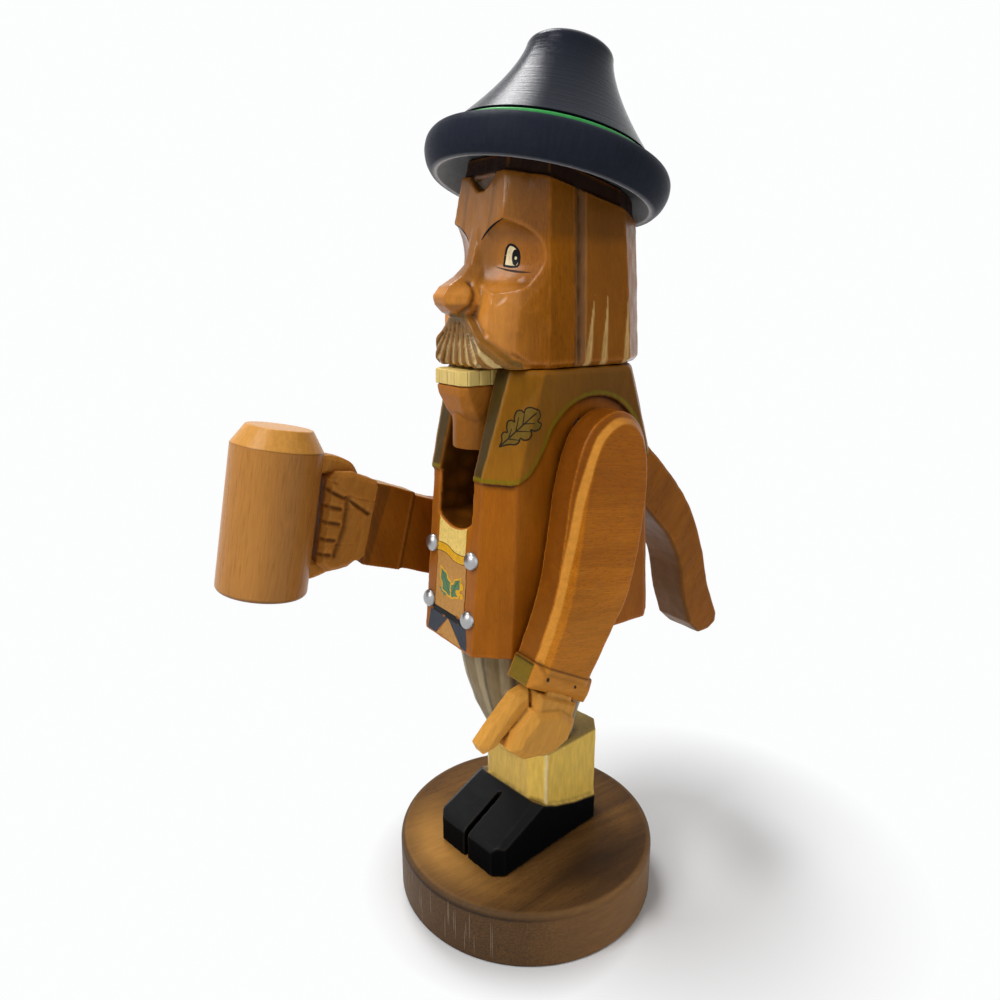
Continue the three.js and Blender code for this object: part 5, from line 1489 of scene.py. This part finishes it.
class NUTCRACKER_OT_arms(bpy.types.Operator):
    """Carve both sleeves and the hands, with stained cuffs"""

    bl_idname = "nutcracker.arms"
    bl_label = "Arms"

    def execute(self, context):
        for label in CUFFS:
            self.sleeve(label)
            self.hand(label)
        ground = Ground(bpy.data.objects["left_sleeve"])
        board = Sheet(ground, (32, 0, 0), (0, 1, 0), (0, 0, 1))
        dots = [ellipse(-17.6, 87.2, 0.55, 0.55, 16), ellipse(-8.4, 82.3, 0.45, 0.45, 16)]
        films("cuff_dots", board, dots, "line_brown", "arm_left", "honey_wood", spacing=0.3)
        return {"FINISHED"}

    def sleeve(self, label):
        """A sleeve with a painted highlight along its chamfer and painted shade beside it, and a stained
        cuff; the right one painted darker as shade, with painted light on its top.
        """
        carving = bpy.context.scene.nutcracker_carving
        left = label == "left"
        sleeve = carved(f"{label}_arm", f"{label}_sleeve", carving.fine_voxel)
        paint = Paint(sleeve)
        x, _, z = paint.at.T
        normal_x, normal_y, normal_z = paint.normals.T
        past = past_cuff(label, paint.at)
        before_cuff = within(past, 0.4)
        outward = normal_x if left else -normal_x
        elbow = 104
        if left:
            paint.lay(np.clip((z - elbow) / 30, 0, 1), "upper sleeve", 0.36)
            paint.lay(within(z - elbow, 14), "lower sleeve", 0.2)
        # Painted highlight along the chamfer, with painted shade on its inner side and on the front edge
        strip = np.abs(x[past < -3]).max() - SLEEVE_STRIP_HALF - 1.5 * np.clip((142 - z) / 30, 0, 1)
        forward = np.clip(0.5 - normal_y + 0.4 * normal_z, 0, 1)
        chamfer = near(outward, 0.68, 0.2, 0.1) * before_cuff * forward
        paint.lay(chamfer * near(np.abs(x), strip, SLEEVE_STRIP_HALF, 0.3), "sleeve strip", 0.68)
        paint.lay(chamfer * within(np.abs(x) - strip + SLEEVE_STRIP_HALF, 0.3), "strip shade", 0.6)
        front_edge = within(outward - 0.3, 0.1) * within(-outward - 0.3, 0.1) * before_cuff
        paint.lay(front_edge * (normal_y < 0), "sleeve front", 0.7)
        cuff = within(-past + 0.2, 0.4)
        edge = within(np.abs(outward) - 0.35, 0.1)
        paint.lay(cuff * edge, "cuff edge", 0.85 if left else 0.2)
        if left:
            paint.lay(cuff * within(0.6 - outward, 0.2), "cuff face", 0.5)
        else:
            # Painted shade over the whole right sleeve, painted light on the forearm's top and a painted
            # highlight on the cuff's rim
            paint.lay(np.ones(len(x)), "right sleeve", 0.4)
            paint.lay(within(10.8 - past, 0.5), "right cuff end", 0.45)
            paint.lay(within(0.6 - normal_z, 0.3) * within(-6 - past, 2), "forearm top", 0.6)
            paint.lay(near(past, 0.9, 0.25, 0.4), "right cuff rim", 0.5)
        paint.lay(cuff * edge * near(past, 0.6, 0.4, 0.4), "cuff shade", 0.8)
        paint.lay(near(past, 0, 0.25, 0.5), "cuff line", 0.85)
        paint.finish()
        mark_wear(sleeve, carving.fine_voxel)
        if not left:
            self.slant_cuff(sleeve)
        dress(sleeve, f"{label}_sleeve_wood", f"arm_{label}", "honey_wood", f"{label}_arm")

    def hand(self, label):
        """A hand; the right one is a fist whose fingers are parted."""
        carving = bpy.context.scene.nutcracker_carving
        left = label == "left"
        hand = carved(f"{label}_hand", f"carved_{label}_hand", carving.hand_voxel)
        grooves = None if left else self.part_fingers(hand)
        paint = Paint(hand)
        # Painted light on the left hand and painted shade on the right one
        paint.lay(np.ones(len(paint.at)), f"{label} hand", 0.55 if left else 0.6)
        if not left:
            # Painted shade in the lines between the fingers
            paint.lay(grooves, "finger line", 0.45)
        paint.finish()
        mark_wear(hand, carving.hand_voxel)
        if not left:
            self.slant_cuff(hand)
        dress(hand, "hand_wood", f"arm_{label}", "honey_wood", f"{label}_hand")

    def part_fingers(self, hand):
        """Cuts the lines between fingers and along the thumb into the outer face of the fist."""
        at = places(hand.data)[0]
        x, y, z = grip_places(at)
        face = (x > 4.6) & (y > 2.2) & (y < 15) & (z > -12.5) & (z < 8.4)
        level = np.where(face, np.maximum(x, 5.9), x)
        grooves = np.zeros(len(at))
        for start, end, half in FINGER_LINES:
            reach = segment_distance(np.c_[y, z], start, end)[0]
            grooves = np.maximum(grooves, np.exp(-(reach / half) ** 2))
        grooves *= x > 3.4
        at[:, 0] = STEIN_GRIP[0] + level - grooves * FINGER_DEPTH
        move(hand.data, at)
        raise_along_stein(hand.data, GRIP_RISE * np.clip((z - 6) / 3, 0, 1) * np.clip(1 - y / 9, 0, 1))
        return grooves

    def slant_cuff(self, obj):
        """Leans the end of the right cuff, and the wrist that meets it, back at the top."""
        at = places(obj.data)[0]
        line, away = CUFFS["right"]
        along = np.subtract(line[0], line[1])
        rise = (at[:, 1:] - line[1]) @ along / (along @ along)
        shift = CUFF_LEAN * np.clip(rise, 0, 1) * np.interp(past_cuff("right", at), (2, 11, 19), (0, 1, 0))
        at[:, 1:] -= np.outer(shift, away)
        move(obj.data, at)


class NUTCRACKER_OT_stein(bpy.types.Operator):
    """Turn the stein and carve its handle"""

    bl_idname = "nutcracker.stein"
    bl_label = "Stein"

    def execute(self, context):
        carving = context.scene.nutcracker_carving
        half = STEIN_HEIGHT / 2
        profile = rounded([
            (0, -half), (STEIN_RADIUS - 0.9, -half), (STEIN_RADIUS, 0.9 - half), (STEIN_RADIUS, half - 5.4),
            (STEIN_RADIUS - 0.25, half - 5.0), (STEIN_RADIUS - 3.3, half - 0.2), (STEIN_RADIUS - 3.6, half),
            (0, half),
        ])
        stein = turned("turned_stein", profile, 128)
        paint = Paint(stein)
        x, y, z = paint.at.T
        # Painted shade on the stein's side towards the camera's right
        aside = STEIN_PAINTED_SHADE_SIDE[0] * x + STEIN_PAINTED_SHADE_SIDE[1] * y
        paint.lay(np.clip((aside - 1) / 10, 0, 1), "stein shade", 0.4)
        # Painted light on the stein's top
        paint.lay(within(half - 5.2 - z, 0.3), "stein top", 0.75)
        paint.lay(within(z + half - 0.7, 0.4), "stein foot", 0.6)
        paint.finish()
        stein.data.transform(Matrix.Translation((0, -STEIN_RADIUS * MM, 0)))
        set_in_place(stein, STEIN_LEAN, STEIN_GRIP)
        mark_wear(stein, carving.lathe_step)
        stein.data.set_sharp_from_angle(angle=math.radians(40))
        dress(stein, "stein_wood", "arm_right", "honey_wood", "stein")
        handle = carved("stein_handle", "carved_handle", carving.hand_voxel)
        _, y, z = grip_places(places(handle.data)[0])
        raise_along_stein(handle.data, -HANDLE_DROP * np.clip(1 - y / 9, 0, 1) * np.clip((z - 4) / 5, 0, 1))
        Paint(handle).finish()
        mark_wear(handle, carving.hand_voxel)
        dress(handle, "hand_wood", "arm_right", "honey_wood", "stein_handle")
        return {"FINISHED"}


class NUTCRACKER_OT_fixings(bpy.types.Operator):
    """Give the hidden dowels, screws and pin their materials"""

    bl_idname = "nutcracker.fixings"
    bl_label = "Fixings"

    def execute(self, context):
        for name, obj in frame["nodes"].items():
            if obj.hide_render:
                continue
            metal = name.startswith("base_screw") or name == "pivot_pin"
            obj.data.materials.clear()
            obj.data.materials.append(coat("zinc_steel" if metal else "bare_wood"))
        return {"FINISHED"}


class NUTCRACKER_OT_stage(bpy.types.Operator):
    """Set the camera, the pale backdrop and the soft lights"""

    bl_idname = "nutcracker.stage"
    bl_label = "Stage"

    def execute(self, context):
        scene = context.scene
        stage = scene.nutcracker_stage
        scene.view_settings.view_transform = "Standard"
        camera = bpy.data.objects.new("camera", bpy.data.cameras.new("camera"))
        scene.collection.objects.link(camera)
        camera.data.lens = CAMERA_LENS
        camera.data.sensor_width = 36.0
        camera.data.clip_start = 0.01
        turn = Matrix((CAMERA_RIGHT, CAMERA_UP, CAMERA_BACK)).transposed().to_4x4()
        camera.matrix_world = Matrix.Translation(CAMERA_PLACE * MM) @ turn
        scene.camera = camera
        self.backdrop()
        self.lamp("key", (-0.16, -0.35, 0.7), (0.26, 0.26), stage.key_power)
        self.lamp("front", (-0.42, 0.32, 0.58), (0.3, 0.5), stage.front_power)
        self.lamp("fill", (0.7, 0.5, 0.3), (0.8, 0.8), stage.fill_power)
        self.sky(stage.sky)
        return {"FINISHED"}

    def backdrop(self):
        """A floor that bends up into a wall well behind the figure."""
        depth = 0.8
        bend = 0.6
        turns = np.linspace(0.1, math.pi / 2, 14)
        line = [(-1.5, 0.0), (depth, 0.0)]
        line += [(depth + bend * math.sin(a), bend - bend * math.cos(a)) for a in turns]
        line += [(depth + bend, 2.4)]
        across = Vector((CAMERA_RIGHT.x, CAMERA_RIGHT.y, 0)).normalized()
        away = Vector((-across.y, across.x, 0))
        points, faces = [], []
        for i, (reach, height) in enumerate(line):
            for side in (-3, 3):
                points.append(tuple(away * reach + across * side + Vector((0, 0, height))))
            if i:
                faces.append((2 * i - 2, 2 * i - 1, 2 * i + 1, 2 * i))
        mesh = bpy.data.meshes.new("backdrop")
        mesh.from_pydata(points, [], faces)
        floor = smooth_shaded(new_object("backdrop", mesh))
        mesh.materials.append(self.paper())

    def seen(self, tree):
        """1 for rays that show the backdrop: from the camera, mirrored or let through."""
        ray = add(tree, "ShaderNodeLightPath").outputs
        shown = sums(tree, "MAXIMUM", ray["Is Camera Ray"], ray["Is Glossy Ray"])
        return sums(tree, "MAXIMUM", shown, ray["Is Transmission Ray"])

    def paper(self):
        """White paper that takes the shadow round the stand and behind it, and is plain white further off."""
        paper = bpy.data.materials.new("paper")
        paper.use_nodes = True
        tree = paper.node_tree
        tree.nodes.clear()
        seen = self.seen(tree)
        spot = add(tree, "ShaderNodeNewGeometry").outputs["Position"]
        shares = []
        for middle, shaded, clear in FLOOR_SHADE:
            reach = vectors(tree, "DISTANCE", {0: spot, 1: middle}, "Value")
            shares.append(spread(tree, reach, shaded, clear, 0.0, 1.0))
        far = sums(tree, "MINIMUM", *shares)
        surface = add(tree, "ShaderNodeBsdfDiffuse", {"Color": (0.88, 0.88, 0.88, 1)}).outputs[0]
        white = add(tree, "ShaderNodeEmission", {"Color": (0.98, 0.985, 0.99, 1), "Strength": 1.0}).outputs[0]
        faded = add(tree, "ShaderNodeMixShader", {0: far, 1: surface, 2: white}).outputs[0]
        whole = add(tree, "ShaderNodeMixShader", {0: seen, 1: surface, 2: faded}).outputs[0]
        add(tree, "ShaderNodeOutputMaterial", {"Surface": whole})
        return paper

    def lamp(self, name, away, size, power):
        """A soft lamp aimed at the figure: so far to the camera's right, towards the camera and up."""
        data = bpy.data.lights.new(name, "AREA")
        data.shape = "RECTANGLE"
        data.size, data.size_y = size
        data.energy = power
        lamp = bpy.data.objects.new(name, data)
        bpy.context.scene.collection.objects.link(lamp)
        aside, forward, above = away
        level = Vector((CAMERA_BACK.x, CAMERA_BACK.y, 0)).normalized()
        lamp.location = LAMP_AIM + CAMERA_RIGHT * aside + Vector((0, 0, above)) + level * forward
        lamp.rotation_euler = (LAMP_AIM - lamp.location).to_track_quat("-Z", "Y").to_euler()

    def sky(self, strength):
        """An even sky, which shows as white behind the figure."""
        world = bpy.data.worlds.new("sky")
        bpy.context.scene.world = world
        world.use_nodes = True
        tree = world.node_tree
        tree.nodes.clear()
        shown = spread(tree, self.seen(tree), 0.0, 1.0, strength, 1.0)
        plain = add(tree, "ShaderNodeBackground", {"Color": (0.98, 0.99, 1.0, 1), "Strength": shown})
        add(tree, "ShaderNodeOutputWorld", {"Surface": plain.outputs[0]})


class NUTCRACKER_PT_panel(bpy.types.Panel):
    """Steps and sizes of the nutcracker"""

    bl_label = "Nutcracker"
    bl_space_type = "VIEW_3D"
    bl_region_type = "UI"
    bl_category = "Nutcracker"

    def draw(self, context):
        scene = context.scene
        for group in (scene.nutcracker_carving, scene.nutcracker_colours, scene.nutcracker_stage):
            box = self.layout.box()
            for name in group.bl_rna.properties.keys():
                if name not in ("rna_type", "name"):
                    box.prop(group, name)
        for operator in STEPS:
            self.layout.operator(operator.bl_idname)


STEPS = (
    NUTCRACKER_OT_materials, NUTCRACKER_OT_stand, NUTCRACKER_OT_legs, NUTCRACKER_OT_jacket,
    NUTCRACKER_OT_vest, NUTCRACKER_OT_leaf, NUTCRACKER_OT_head, NUTCRACKER_OT_jaw, NUTCRACKER_OT_hat,
    NUTCRACKER_OT_arms, NUTCRACKER_OT_stein, NUTCRACKER_OT_fixings, NUTCRACKER_OT_stage,
)
GROUPS = (NutcrackerCarving, NutcrackerColours, NutcrackerStage)


def register():
    for kind in (*GROUPS, *STEPS, NUTCRACKER_PT_panel):
        bpy.utils.register_class(kind)
    bpy.types.Scene.nutcracker_carving = PointerProperty(type=NutcrackerCarving)
    bpy.types.Scene.nutcracker_colours = PointerProperty(type=NutcrackerColours)
    bpy.types.Scene.nutcracker_stage = PointerProperty(type=NutcrackerStage)


def unregister():
    del bpy.types.Scene.nutcracker_stage
    del bpy.types.Scene.nutcracker_colours
    del bpy.types.Scene.nutcracker_carving
    for kind in reversed((*GROUPS, *STEPS, NUTCRACKER_PT_panel)):
        bpy.utils.unregister_class(kind)


def main():
    register()
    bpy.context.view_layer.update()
    bpy.ops.nutcracker.materials()
    bpy.ops.nutcracker.stand()
    bpy.ops.nutcracker.legs()
    bpy.ops.nutcracker.jacket()
    bpy.ops.nutcracker.vest()
    bpy.ops.nutcracker.leaf()
    bpy.ops.nutcracker.head()
    bpy.ops.nutcracker.jaw()
    bpy.ops.nutcracker.hat()
    bpy.ops.nutcracker.arms()
    bpy.ops.nutcracker.stein()
    bpy.ops.nutcracker.fixings()
    bpy.ops.nutcracker.stage()


if __name__ == "__main__":
    main()
